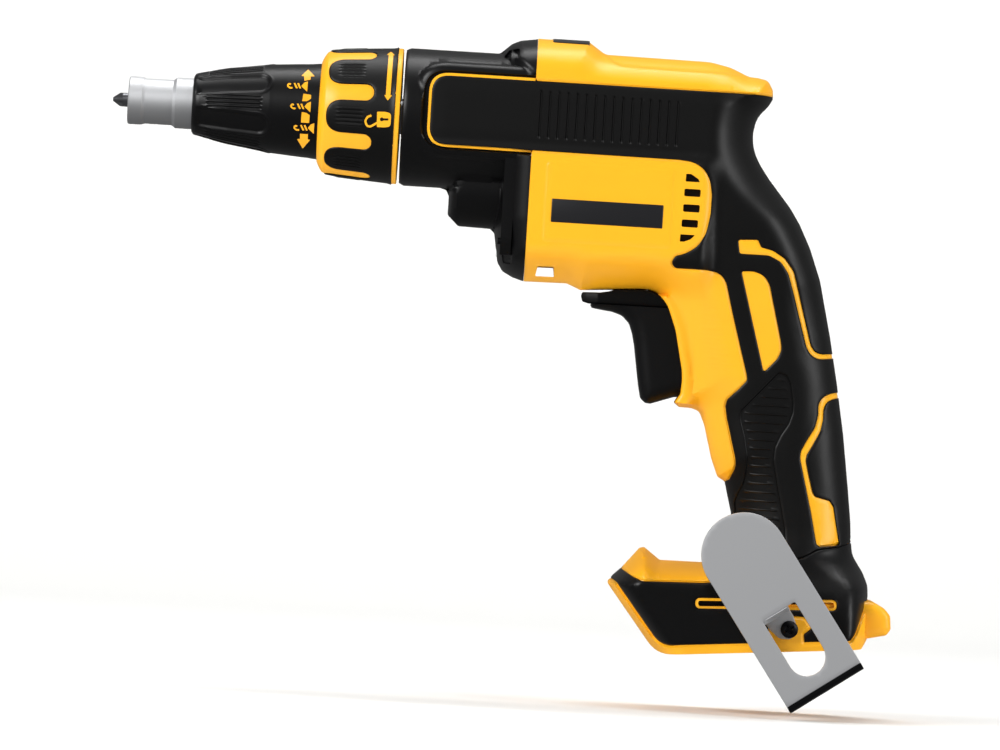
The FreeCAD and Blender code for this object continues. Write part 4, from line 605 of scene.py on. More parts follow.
slotRim = roundedLine([(219.6, -173.9), (219.4, -170.4), (270.9, -168.2), (271.1, -171.7)], 1.8, slotStep)
slotHole = roundedLine([(220.5, -173.2), (220.3, -171.2), (270.1, -169.0), (270.3, -171.0)], 1.0, slotStep)
print("stage: outlines drawn")

# Yellow shell, one closed skin for each side
shellSizes = {
    "vents": [[(206.6, -15.3, 0.3), (208.4, -15.3), (211.2, -17.0), (211.9, -18.2, 0.3), (206.5, -18.2, 0.3)],
              [(206.3, -20.8), (212.3, -20.8), (212.3, -23.6), (206.3, -23.6)],
              [(206.2, -26.5), (212.3, -26.5), (212.3, -29.3), (206.2, -29.3)],
              [(206.0, -32.1), (212.0, -32.1), (212.0, -34.9), (206.0, -34.9)],
              [(205.8, -37.6, 0.3), (211.3, -37.6, 0.3), (209.6, -39.3), (207.2, -40.3),
               (205.7, -40.3, 0.3)]],
    "drain": [(154.3, -52.4), (160.2, -52.3), (160.6, -55.9), (153.6, -56.0)],
    "raisedPanel": [(155.1, -13.7), (202.6, -13.7), (202.6, -43.4), (155.1, -43.4)],
    "raise": 0.3,
    "ridgeBox": (211.5, -89.0, 233.0, -60.5),
    "ridgeCells": (1.2, 0.3),
    "ridgePitch": 1.78,
    "ridgeHeight": 0.13,
    "bandProud": 0.35,
    "blackEdge": (-0.75, -0.1),
    "loopEdge": (-0.4, 0.2),
    "shownEdge": (0.1, 0.5),
    "seamReach": (1.6, 1.0),
    "panelReach": (-1.6, -1.0),
    "sinkEdge": (-0.3, 0.0),
    "bandEdge": (-0.5, -1.2),
    "bandDown": (-163.5, -166.0),
    "raiseEdge": (0.0, 0.9),
    "raiseHold": (2, 8),
    "ridgeEdge": (0.0, 1.2),
    "mouthHalf": 10.1,
    "mouthLip": 0.5,
    "mouthRound": 1.6,
    "mouthTop": (-59.4, -60.6),
    "mouthLow": (-100.7, -99.5),
    "mouthBack": (217.0, 212.0),
    "mouthBlend": 3.0,
    "cell": 1.9,
}
# Where the shell shows through the black, and the share of the way it rises to the common surface
shownThrough = ((sideWindow, 0.8), (upperTrim, 0.45), (lowerTrim, 0.45), (slotRim, 0.6))
ventLoops = [roundedLine(corners, 0.7, 0.7) for corners in shellSizes["vents"]]
drainLoop = roundedLine(shellSizes["drain"], 0.4, 0.8)
raisedLoop = roundedLine(shellSizes["raisedPanel"], 2.0, 1.2)
ridgeZone = roundedLine([(212.6, -61.0), (219.5, -61.0), (222.0, -64.0), (230.4, -87.0), (218.0, -87.6)],
                        2.0, 1.2)


def shellStep(name, values):
    return ease(*shellSizes[name], values)


def blackDepth(points):
    return np.maximum(depthIn(points, gripLoop), depthIn(points, coverLoop))


def shellInset(points):
    # How far the shell lies below the common surface: under the black, and less where it shows through
    black = blackDepth(points)
    inset = bodySizes["rubberStep"] * shellStep("blackEdge", black)
    for loop, share in shownThrough:
        inset = inset * (1.0 - share * shellStep("shownEdge", depthIn(points, loop)))
    sunk = np.maximum(shellStep("seamReach", lineDistance(points, lowSeamLine, False)),
                      shellStep("panelReach", depthIn(points, ribPanel)))
    inset = inset + bodySizes["seamSink"] * sunk * shellStep("sinkEdge", black)
    band = shellStep("bandEdge", black) * shellStep("bandDown", points[:, 1])
    return inset - shellSizes["bandProud"] * band


def mouthShare(points):
    across, up = points[:, 0], points[:, 1]
    return shellStep("mouthTop", up) * shellStep("mouthLow", up) * shellStep("mouthBack", across)


def shellUnder(points):
    mouth = shellSizes["mouthHalf"] * mouthShare(points)
    return np.maximum(sideHeight(points, bodySizes["shellWall"]), mouth)


def ridgeWave(places, pitch):
    return 0.5 + 0.5 * np.cos(2 * math.pi * places / pitch)


def shellTop(points):
    height = sideHeight(points, shellInset(points))
    lip = shellSizes["mouthRound"] * bulge(depthIn(points, sideLoop) / shellSizes["mouthRound"])
    rim = shellSizes["mouthHalf"] + (shellSizes["mouthLip"] + lip)
    height = mixed(height, softMax(height, rim, shellSizes["mouthBlend"]), mouthShare(points))
    raised = shellStep("raiseEdge", depthIn(points, raisedLoop)) * shellStep("raiseHold", height)
    height = height + shellSizes["raise"] * raised
    held = shellStep("ridgeEdge", depthIn(points, ridgeZone))
    return height + shellSizes["ridgeHeight"] * ridgeWave(points[:, 1], shellSizes["ridgePitch"]) * held


baseLoop = roundedLine(baseCorners, softRadius, fineStep)
baseInset = bodySizes["rubberStep"] * shellStep("loopEdge", blackDepth(baseLoop))
baseLoop = baseLoop + lineNormals(baseLoop) * baseInset[:, None]
ridgePatch = gridPoints(shellSizes["ridgeBox"][:2], shellSizes["ridgeBox"][2:], *shellSizes["ridgeCells"])
seamRings = (-1.0, -0.5, -0.15, 0.3, 0.9)
trimRings = (-0.3, 0.2, 0.6)
rollRings = (2.7, 4.3, 6.3, 8.7)
shellRings = [(baseLoop, (0.2, 0.7, 1.5) + rollRings), (gripLoop, seamRings), (coverLoop, seamRings),
              (sideWindow, trimRings), (upperTrim, trimRings), (lowerTrim, trimRings),
              (slotRim, trimRings[:2]), (scoopLoop, (-0.4, 0.0, 0.35, 0.7, 1.1, 1.8)),
              (raisedLoop, (-0.4, 0.0, 0.45, 0.9))]
wellSizes = {
    "spots": [(157.5, 21.5), (226.0, 13.0), (232.0, -45.0), (255.5, -82.0), (262.0, -128.0), (203.0, -165.0),
              (272.0, -163.0), (166.0, -51.6), (196.0, -51.6)],
    "radius": 3.4,
    "wall": 1.0,
    "seat": 7.0,
    "floor": 1.5,
    "rim": 0.6,
    "steps": 32,
    "spacing": 2,
    "hookHole": (254.15, -179.6),
    "hookRadius": 2.2,
    "hookSteps": 24,
}
wellLoops = [circleLoop(spot, wellSizes["radius"], wellSizes["steps"], wellSizes["spacing"])
             for spot in wellSizes["spots"]]
wellRings = [(loop, (-0.6,)) for loop in wellLoops]
hookLoop = circleLoop(wellSizes["hookHole"], wellSizes["hookRadius"], wellSizes["hookSteps"],
                      wellSizes["spacing"])


def sidePair(name, nodeName, slotName, fill, top, under):
    # The two sides of one form, from fillPoints' own values; only the right side has the screw wells
    outline, cell, rings, cuts, patches = fill
    left = shell(outline, fillPoints(*fill), top, under, onSide, cuts)
    piece(name + "Left", *left, slotName, replaced=(nodeName + "_left",))
    points = fillPoints(outline, cell, rings + wellRings, cuts + wellLoops, patches)
    right = shell(outline, points, top, under, onSide, cuts + wellLoops)
    piece(name + "Right", *mirrored(*right), slotName, replaced=(nodeName + "_right",))
    print("stage:", name, "built,", len(left[1]), "faces on the left")


shellCuts = ventLoops + [drainLoop, slotHole, hookLoop]
sidePair("housing", "housing", "yellow_nylon",
         (baseLoop, shellSizes["cell"], shellRings, shellCuts, [(ridgePatch, shellSizes["ridgeBox"])]),
         shellTop, shellUnder)


def screwWell(loop):
    # A cup from the outer skin down to the screw's seat, its rim following the skin
    middle = loop.mean(axis=0)
    wide = middle + (loop - middle) * (1 + wellSizes["wall"] / wellSizes["radius"])
    rim = shellTop(loop) - wellSizes["rim"]
    seat = np.full(len(loop), wellSizes["seat"])
    base = seat - wellSizes["floor"]
    rings = [onSide(loop, seat), onSide(loop, rim), onSide(wide, rim), onSide(wide, base)]
    count = len(loop)
    faces = [tuple(range(count)), tuple(range(3 * count, 4 * count))]
    for row in range(3):
        here, beyond = row * count, (row + 1) * count
        for place in range(count):
            ahead = (place + 1) % count
            faces.append((here + place, here + ahead, beyond + ahead, beyond + place))
    return np.concatenate(rings), faces


wellMeshes = [screwWell(loop) for loop in wellLoops]
piece("screwWells", *mirrored(*joined(*wellMeshes)), "yellow_nylon", outward=True)

# Dark sheets just inside the vents: painted shade, standing in for the dark inside seen through the slots
ventShadeSizes = {"outline": [(203.0, -12.5), (214.8, -12.5), (214.8, -43.0), (203.0, -43.0)], "round": 3,
               "gap": 0.4, "thick": 1.0, "cell": 2.0}
ventShadeLoop = roundedLine(ventShadeSizes["outline"], ventShadeSizes["round"], 1.5)
ventShadeTop = bodySizes["shellWall"] + ventShadeSizes["gap"]
leftVentShade = shell(ventShadeLoop, fillPoints(ventShadeLoop, ventShadeSizes["cell"]), sideUnder(ventShadeTop),
                   sideUnder(ventShadeTop + ventShadeSizes["thick"]), onSide)
piece("ventShadeSheets", *joined(leftVentShade, mirrored(*leftVentShade)), "black_nylon")
print("stage: wells and shadeSheets built")

# Black overmould: the grip band, palm and handle, with grooves along the band
gripSizes = {
    "grooveFirst": 151.7,
    "groovePitch": 3.36,
    "grooves": 16,
    "grooveHalf": 0.6,
    "grooveDepth": 0.6,
    "grooveTop": 11.5,
    "grooveLow": -5.0,
    "grooveLean": 0.07,
    "grooveColumns": [-1.1, -0.62, -0.36, 0.0, 0.36, 0.62, 1.1],
    "grooveBox": (150.2, -7.2, 203.5, 13.0),
    "pillow": 0.2,
    "pillowEdge": (0.5, 6.0),
    "pillowHold": (4, 12),
    "cell": 1.7,
    "ribPitch": 3.2,
    "ribFirst": -92.0,
    "ribHalf": 0.42,
    "ribRise": 0.34,
    "ribFloor": 0.42,
    "ribEdge": (0.8, 2.2),
    "ribRows": [-1.2, -0.45, -0.22, 0.0, 0.22, 0.45, 1.2],
    "ribBox": (230.0, -153.0, 253.0, -85.0),
    "ribCell": 1.6,
}


def rounded(points, edges, radius):
    # How far a skin drops near its own edges
    near = np.min([lineDistance(points, line, closed) for line, closed in edges], axis=0)
    return radius * (1.0 - bulge(near / radius)), near


def edgeRuns(loop):
    # Open runs of a loop that lie inside the outline, so that only real seams are rounded
    deep = depthIn(loop, sideLoop) > bodySizes["seamDepth"]
    if deep.all():
        return [(loop, True)]
    start = int(np.argmin(deep))
    loop = np.roll(loop, -start, axis=0)
    deep = np.roll(deep, -start)
    runs = []
    run = []
    for spot, within in zip(loop, deep):
        if within:
            run.append(spot)
        elif run:
            runs.append(np.array(run))
            run = []
    if run:
        runs.append(np.array(run))
    return [(line, False) for line in runs if len(line) > 1]


gripCuts = [sideWindow, upperTrim, lowerTrim, ribPanel]
gripEdges = edgeRuns(gripLoop) + [(loop, True) for loop in gripCuts]


def gripTop(points):
    height = sideHeight(points)
    drop, near = rounded(points, gripEdges, bodySizes["rubberEdge"])
    pillow = ease(*gripSizes["pillowEdge"], near) * ease(*gripSizes["pillowHold"], height)
    height = height - drop * bodyStep("edgeHold", height) + gripSizes["pillow"] * pillow
    across, up = points[:, 0], points[:, 1]
    first, pitch = gripSizes["grooveFirst"], gripSizes["groovePitch"]
    place = np.clip(np.round((across - first) / pitch), 0, gripSizes["grooves"] - 1)
    off = np.abs(across - first - place * pitch)
    above = up - gripSizes["grooveTop"] + gripSizes["grooveLean"] * place
    past = np.maximum(np.maximum(above, gripSizes["grooveLow"] - up), 0.0)
    groove = np.clip(1.0 - (np.hypot(off, past) / gripSizes["grooveHalf"]) ** 2, 0.0, 1.0)
    return height - gripSizes["grooveDepth"] * groove


grooveColumns = np.concatenate([gripSizes["grooveFirst"] + place * gripSizes["groovePitch"]
                                + np.array(gripSizes["grooveColumns"])
                                for place in range(gripSizes["grooves"])])
# Rows are close at the grooves' round ends and wide between them
grooveRows = np.concatenate([[-6.6], np.arange(-6.0, -4.3, 0.3), np.arange(-3.4, 9.5, 1.4),
                             np.arange(9.9, 12.2, 0.3), [12.6]])
groovePatch = meshPoints(grooveColumns, grooveRows)
edgeRings = (0.12, 0.35, 0.75, 1.6, 2.7)
gripRings = [(gripLoop, edgeRings)] + [(loop, (-0.12, -0.35, -0.75, -1.5)) for loop in gripCuts]
rubberUnder = sideUnder(bodySizes["rubberWall"])
sidePair("grip", "grip", "black_rubber",
         (gripLoop, gripSizes["cell"], gripRings, gripCuts, [(groovePatch, gripSizes["grooveBox"])]),
         gripTop, rubberUnder)


def ribTop(points):
    up = points[:, 1]
    place = np.round((gripSizes["ribFirst"] - up) / gripSizes["ribPitch"])
    off = np.abs(up - gripSizes["ribFirst"] + place * gripSizes["ribPitch"])
    rib = np.clip(1.0 - (off / gripSizes["ribHalf"]) ** 2, 0.0, 1.0)
    held = ease(*gripSizes["ribEdge"], depthIn(points, ribPanel))
    return sideHeight(points, gripSizes["ribFloor"]) + gripSizes["ribRise"] * rib * held


ribRows = np.concatenate([gripSizes["ribFirst"] - place * gripSizes["ribPitch"]
                          + np.array(gripSizes["ribRows"]) for place in range(-2, 20)])
ribPatch = meshPoints(np.arange(231.0, 252.5, 1.1), ribRows)
ribPoints = fillPoints(ribPanel, gripSizes["ribCell"], [(ribPanel, (0.2, 0.8))], (),
                       [(ribPatch, gripSizes["ribBox"])])
leftRib = shell(ribPanel, ribPoints, ribTop, rubberUnder, onSide)
piece("gripInsetLeft", *leftRib, "black_rubber")
piece("gripInsetRight", *mirrored(*leftRib), "black_rubber")
print("stage: ribbed insets built")

# Black foot covers
coverSizes = {"edge": 1.0, "cell": 1.9}
coverEdges = edgeRuns(coverLoop) + [(slotRim, True)]


def coverTop(points):
    height = sideHeight(points)
    return height - rounded(points, coverEdges, coverSizes["edge"])[0] * bodyStep("edgeHold", height)


coverRings = [(coverLoop, edgeRings + rollRings[1:]), (slotRim, (-0.15, -0.5, -1.0))]
sidePair("footCover", "foot_cover", "black_nylon", (coverLoop, coverSizes["cell"], coverRings, [slotRim], []),
         coverTop, rubberUnder)

# Gear case: barrel, motor boss, rear flange and the frame round the grip's front end, one closed piece
caseSizes = {
    "front": 101.2,
    "back": 149.4,
    "endSlack": 0.01,
    "rimSlack": 1e-4,
    "weld": 2e-3,
    "sliver": 1e-4,
    "radius": 25.5,
    "lip": 0.9,
    "lipRound": 1.8,
    "bossFront": 119.9,
    "bossRadius": 13.25,
    "bossHeight": -26.25,
    "bossRound": 3.5,
    "bossBlend": 1.2,
    "flangeFront": 136.6,
    "flangeRound": 8.0,
    "flangeStart": 0.6,
    "flangeShare": 0.62,
    "flangeBlend": 2.0,
    "bodyFront": 150.0,
    "platform": 23.7,
    "platformRound": 4.0,
    "platformBlend": 1.0,
    "channel": 22.6,
    "channelEdge": (-0.8, 1.3),
    "channelClear": 9.0,
    "humpDepth": 2.6,
    "humpEdge": (0.0, 0.7),
    "chinDepth": 1.6,
    "chinEdge": (0.0, 0.6),
    "cell": 1.5,
    "bossCorner": (136.4, -39.0, 142.8, -13.6),
    "cornerCell": 0.5,
    "cornerGap": 0.2,
}
flangeTop = [(139.9, 29.3, 4), (143.0, 30.7, 3)]
flangeLow = [(145.2, -56.9, 4), (141.3, -54.8, 3), (139.3, -51.6, 3), (137.5, -40.9, 2)]
caseLoop = roundedLine([(caseSizes["front"], 24.6, 0), (103.0, 25.5, 1), (135.7, 25.5, 2), *flangeTop,
                        (caseSizes["back"], 31.6, 0), (caseSizes["back"], -58.1, 0), *flangeLow,
                        (135.9, -39.5, 1), (124.0, -39.2, 2), (119.9, -35.3, 1.5), (119.9, -28.3, 1),
                        (118.8, -26.1, 1.5), (116.5, -25.5, 3), (103.0, -25.5, 1),
                        (caseSizes["front"], -24.6, 0)], 2, fineStep)
flangeLoop = roundedLine([(caseSizes["flangeFront"], 26.0, 2), *flangeTop, (149.5, 31.7), (190.0, 31.9),
                          (190.0, -58.1), (149.0, -58.1), *flangeLow, (caseSizes["flangeFront"], -36.0, 2)],
                         2, fineStep)
platformLoop = roundedLine([(105.4, 20.6, 12), (170.0, 20.6), (170.0, -15.0), (105.4, -15.0, 12)], 1,
                           fineStep)
windowLoop = roundedLine([(107.8, 18.2, 10), (170.0, 18.2), (170.0, -12.6), (107.8, -12.6, 10)], 1, fineStep)
pocketStep = 0.7
humpPocket = roundedLine([(139.0, 26.6), (143.2, 27.4), (143.2, 23.4), (136.6, 23.4)], 1.0, pocketStep)
chinPocket = roundedLine([(140.2, -46.6), (143.4, -46.6), (144.8, -48.4), (144.6, -52.4), (141.4, -52.0)],
                         0.8, pocketStep)


def circleRise(radius, off):
    return np.sqrt(np.maximum(radius ** 2 - off ** 2, 0.0))


def caseHeight(points):
    across, up = points[:, 0], points[:, 1]
    lipShare = bulge((across - caseSizes["front"]) / caseSizes["lipRound"])
    barrel = circleRise(caseSizes["radius"] - caseSizes["lip"] * (1.0 - lipShare), up)
    boss = circleRise(caseSizes["bossRadius"], up - caseSizes["bossHeight"])
    boss = boss * bulge((across - caseSizes["bossFront"]) / caseSizes["bossRound"])
    deep = depthIn(points, flangeLoop)
    flange = sideWidth(np.stack([np.maximum(across, caseSizes["bodyFront"]), up], axis=1))
    fore = np.maximum(across - caseSizes["flangeFront"] - caseSizes["flangeStart"], 0.0)
    widening = mixed(caseSizes["flangeShare"], 1.0, bulge(fore / caseSizes["flangeRound"]))
    flange = np.where(deep > 0, flange * bulge(deep / bodySizes["bodyRound"]) * widening, 0.0)
    frameDepth = depthIn(points, platformLoop)
    soft = caseSizes["platformRound"]
    platform = np.where(frameDepth > 0, caseSizes["platform"] - soft + soft * bulge(frameDepth / soft), 0.0)
    height = softMax(softMax(barrel, boss, caseSizes["bossBlend"]), flange, caseSizes["flangeBlend"])
    height = softMax(height, platform, caseSizes["platformBlend"])
    wall = 1.0 - ease(*caseSizes["channelEdge"], depthIn(points, windowLoop))
    height = np.minimum(height, caseSizes["channel"] + caseSizes["channelClear"] * wall)
    height = height - caseSizes["humpDepth"] * ease(*caseSizes["humpEdge"], depthIn(points, humpPocket))
    height = height - caseSizes["chinDepth"] * ease(*caseSizes["chinEdge"], depthIn(points, chinPocket))
    slack = caseSizes["endSlack"]
    ends = (across < caseSizes["front"] + slack) | (across > caseSizes["back"] - slack)
    return np.where(ends | (depthIn(points, caseLoop) > caseSizes["rimSlack"]), np.maximum(height, 0.0), 0.0)


def welded(verts, faces):
    # Both halves welded along the middle, with flat ends put in where the halves are cut off
    work = bmesh.new()
    spots = [work.verts.new(spot) for spot in verts]
    for face in faces:
        work.faces.new([spots[int(place)] for place in face])
    bmesh.ops.remove_doubles(work, verts=work.verts, dist=caseSizes["weld"])
    bmesh.ops.dissolve_degenerate(work, edges=work.edges, dist=caseSizes["sliver"])
    closeHoles(work)
    return meshData(work)


def skinOnly(outline, points, top):
    flat, faces = flatMesh(outline, (), points)
    return onSide(flat, top(flat)), [tuple(face) for face in faces]


left, low, right, high = caseSizes["bossCorner"]
cornerGap = caseSizes["cornerGap"]
cornerPatch = gridPoints((left, low), (right, high), caseSizes["cornerCell"], caseSizes["cornerCell"])
cornerBox = (left - cornerGap, low - cornerGap, right + cornerGap, high + cornerGap)
caseRings = [(caseLoop, (0.1, 0.4, 1.0, 1.9, 3.2, 4.8, 6.8)), (windowLoop, (-0.8, -0.3, 0.3, 0.8, 1.3)),
             (platformLoop, (-0.4, 0.3, 1.0, 2.0)), (humpPocket, (-0.3, 0.05, 0.4, 0.7)),
             (chinPocket, (-0.3, 0.05, 0.4))]
casePoints = fillPoints(caseLoop, caseSizes["cell"], caseRings, (), [(cornerPatch, cornerBox)])
leftCase = skinOnly(caseLoop, casePoints, caseHeight)
piece("gearCase", *welded(*joined(leftCase, mirrored(*leftCase))), "black_nylon", replaced=("gear_case",))

# Yellow line round the grip's front end
trimSizes = {
    "outline": [(110.6, 16.4, 7.4), (149.4, 16.4, 0), (149.4, -11.0, 0), (110.6, -10.8, 7.4)],
    "top": 24.0,
    "under": 22.0,
    "edge": 0.35,
    "cell": 2.5,
}
trimLoop = roundedLine(trimSizes["outline"], 1, fineStep)


def trimTop(points):
    return trimSizes["top"] - rounded(points, [(trimLoop, True)], trimSizes["edge"])[0]


trimPoints = fillPoints(trimLoop, trimSizes["cell"], [(trimLoop, (0.15, 0.4))])
leftTrim = shell(trimLoop, trimPoints, trimTop, level(trimSizes["under"]), onSide)
piece("gripTrimLeft", *leftTrim, "yellow_nylon")
piece("gripTrimRight", *mirrored(*leftTrim), "yellow_nylon")
print("stage: gear case built")


# Nose: cone, lock collar and its rubber, all round the spindle's axis
def onRound(points, height):
    # Points are arc in degrees and place along the axis; arc 0 faces low Y
    angle = np.radians(points[:, 0])
    return np.stack([points[:, 1], -height * np.cos(angle), height * np.sin(angle)], axis=1)


def turnedSkin(along, radius, steps, bore=()):
    # A closed turned body; radius is a function of angle in degrees and place, or a list beside along.
    # Its ends are flat, or it is hollowed by a bore of places and radii from the back to the front.
    angles = np.arange(steps) * 360.0 / steps
    arc, place = np.meshgrid(angles, list(along) + [spot for spot, _ in bore])
    flat = np.stack([arc.ravel(), place.ravel()], axis=1)
    outer = flat[:len(along) * steps]
    height = radius(outer) if callable(radius) else np.repeat(radius, steps)
    verts = onRound(flat, np.concatenate([height] + [np.full(steps, inner) for _, inner in bore]))
    rows = len(along) + len(bore)
    faces = []
    for row in range(rows if bore else rows - 1):
        here, beyond = row * steps, (row + 1) % rows * steps
        for column in range(steps):
            ahead = (column + 1) % steps
            faces.append((here + column, here + ahead, beyond + ahead, beyond + column))
    if not bore:
        last = (rows - 1) * steps
        faces.append(tuple(range(steps))[::-1])
        faces.append(tuple(last + column for column in range(steps)))
    return verts, [face[::-1] for face in faces]


coneSizes = {
    "along": [23.4, 23.5, 24.0, 25.0, 26.0, 30.0, 37.0, 44.0, 48.0, 52.0, 53.5, 60.0, 67.0, 71.0, 84.4],
    "radii": [10.1, 10.4, 11.2, 11.8, 12.1, 12.9, 14.3, 15.25, 15.85, 16.35, 16.45, 16.95, 17.4, 17.85, 17.9],
    "between": [(24.0, 30.0, 0.35), (30.0, 47.0, 0.7), (47.0, 54.0, 0.3)],
    "steps": 720,
    "pads": 6,
    "padPhase": 5.0,
    "pocketDepth": 0.9,
    "pocketHalf": 4.3,
    "pocketEnd": 52.3,
    "pocketEdge": (0.0, 1.3),
    "pocketHold": (24.0, 27.0),
    "lipRise": 0.18,
    "lipOff": 0.35,
    "lipHalf": 0.45,
    "lipHold": (26, 29),
    "ridgeRise": 0.42,
    "ridgeMean": 0.55,
    "ridgeHalf": 2.9,
    "ridgeSide": 0.35,
    "ridgePitch": 1.45,
    "ridgeSpan": (28.6, 49.4),
    "ridgeEnd": 0.8,
    "bore": [(84.4, 13.55), (50.1, 13.55), (50.1, 10.45), (28.0, 10.45), (28.0, 9.9), (23.4, 9.9)],
}


def coneRest(along):
    return np.interp(along, coneSizes["along"], coneSizes["radii"])


def ridgeHold(sizes, place, side):
    # Full on the ridged patch of a pad, none beyond its ends and sides
    low, high = sizes["ridgeSpan"]
    half = sizes["ridgeHalf"]
    held = ease(low, low + sizes["ridgeEnd"], place) * ease(high, high - sizes["ridgeEnd"], place)
    return held * ease(half, half - sizes["ridgeSide"], np.abs(side))


def coneRadius(points):
    arc, place = points[:, 0], points[:, 1]
    radius = coneRest(place)
    pitch = 360.0 / coneSizes["pads"]
    padArc = (arc - coneSizes["padPhase"] + pitch / 2) % pitch - pitch / 2
    pocketArc = (arc - coneSizes["padPhase"]) % pitch - pitch / 2
    half = coneSizes["pocketHalf"]
    over = np.maximum(place - (coneSizes["pocketEnd"] - half), 0.0)
    edge = half - np.hypot(radius * np.radians(pocketArc), over)
    pocket = ease(*coneSizes["pocketEdge"], edge) * ease(*coneSizes["pocketHold"], place)
    lip = np.exp(-((edge + coneSizes["lipOff"]) / coneSizes["lipHalf"]) ** 2)
    lip = lip * ease(*coneSizes["lipHold"], place)
    side = radius * np.radians(padArc)
    ridge = ridgeWave(side, coneSizes["ridgePitch"]) - coneSizes["ridgeMean"]
    ridge = ridge * ridgeHold(coneSizes, place, side)
    return (radius - coneSizes["pocketDepth"] * pocket + coneSizes["lipRise"] * lip
            + coneSizes["ridgeRise"] * ridge)


coneAlong = [coneSizes["along"]] + [np.arange(*span) for span in coneSizes["between"]]
coneAlong = np.unique(np.concatenate(coneAlong))
piece("depthCone", *turnedSkin(coneAlong, coneRadius, coneSizes["steps"], coneSizes["bore"]), "black_nylon",
      "cone", ("depth_cone",), sharp=50)

collarSizes = {
    "along": [70.3, 70.3, 70.6, 71.6, 72.3, 73.0, 78.0, 90.0, 97.6, 97.9, 98.2, 99.9, 100.2, 100.2],
    "radii": [18.2, 18.5, 19.3, 21.2, 22.1, 22.5, 23.2, 24.1, 24.6, 24.9, 25.1, 25.1, 24.8, 20.0],
    "steps": 160,
    "pads": 8,
    "padPhase": -4.5,
    "fingerHalf": 7.3,
    "fingerSteps": 13,
    "padStart": 73.2,
    "padRound": 0.97,
    "fingerEnd": 90.4,
    "bandEnd": 98.5,
    "bandOver": 3.0,
    "rise": 0.5,
    "sink": 0.5,
    "edge": 0.7,
    "edgeSlack": 0.02,
    "ridgeRise": 0.4,
    "ridgeMean": 0.6,
    "ridgePitch": 1.5,
    "ridgeHalf": 3.7,
    "ridgeSide": 0.4,
    "ridgeSpan": (77.0, 87.0),
    "ridgeEnd": 1.0,
    "ridgeBox": (-4.3, 76.3, 4.3, 87.9),
    "cell": 0.9,
    "meanRadius": 24.0,
}
collarSkin = turnedSkin(np.array(collarSizes["along"]), np.array(collarSizes["radii"]), collarSizes["steps"])
piece("lockCollar", *collarSkin, "yellow_nylon", "collar", ("lock_collar",), sharp=30)

perDegree = math.radians(1.0) * collarSizes["meanRadius"]
halfPitch = 180.0 / collarSizes["pads"] * perDegree
fingerHalf = collarSizes["fingerHalf"] * perDegree
padHalf = halfPitch - fingerHalf
padRound = padHalf * collarSizes["padRound"]
padStart, bandEnd = collarSizes["padStart"], collarSizes["bandEnd"]
fingerLow = collarSizes["fingerEnd"] - fingerHalf
padLoop = roundedLine([(-halfPitch, bandEnd, 0),
                       *arcLine((-halfPitch, fingerLow), fingerHalf, 90, 0, collarSizes["fingerSteps"]),
                       (-padHalf, padStart, padRound), (padHalf, padStart, padRound),
                       *arcLine((halfPitch, fingerLow), fingerHalf, 180, 90, collarSizes["fingerSteps"]),
                       (halfPitch, bandEnd, 0)], 1.0, 0.6)
# A pad's own edge leaves out the ends where it runs on into the next pad
within = np.array([halfPitch, bandEnd]) - collarSizes["edgeSlack"]
bandReach = halfPitch + collarSizes["bandOver"]
padEdge = [(padLoop[(np.abs(padLoop[:, 0]) < within[0]) & (padLoop[:, 1] < within[1])], False),
           (np.array([(-bandReach, bandEnd), (bandReach, bandEnd)]), False)]


def collarRest(along):
    return np.interp(along, collarSizes["along"][1:-1], collarSizes["radii"][1:-1])


def padRest(along):
    return collarRest(along) + collarSizes["rise"]


def padTop(points):
    side, place = points[:, 0], points[:, 1]
    ridge = ridgeWave(side, collarSizes["ridgePitch"]) - collarSizes["ridgeMean"]
    ridge = ridge * ridgeHold(collarSizes, place, side)
    drop = rounded(points, padEdge, collarSizes["edge"])[0]
    return padRest(place) - drop + collarSizes["ridgeRise"] * ridge


def padUnder(points):
    return collarRest(points[:, 1]) - collarSizes["sink"]


def onCollar(points, height):
    arc = points[:, 0] / perDegree + collarSizes["padPhase"]
    return onRound(np.stack([arc, points[:, 1]], axis=1), height)


padPatch = meshPoints(np.arange(-4.2, 4.21, collarSizes["ridgePitch"] / 6), np.arange(76.6, 87.8, 0.8))
padPoints = fillPoints(padLoop, collarSizes["cell"], [(padLoop, (0.12, 0.35, 0.7))], (),
                       [(padPatch, collarSizes["ridgeBox"])])
padMesh = shell(padLoop, padPoints, padTop, padUnder, onCollar)


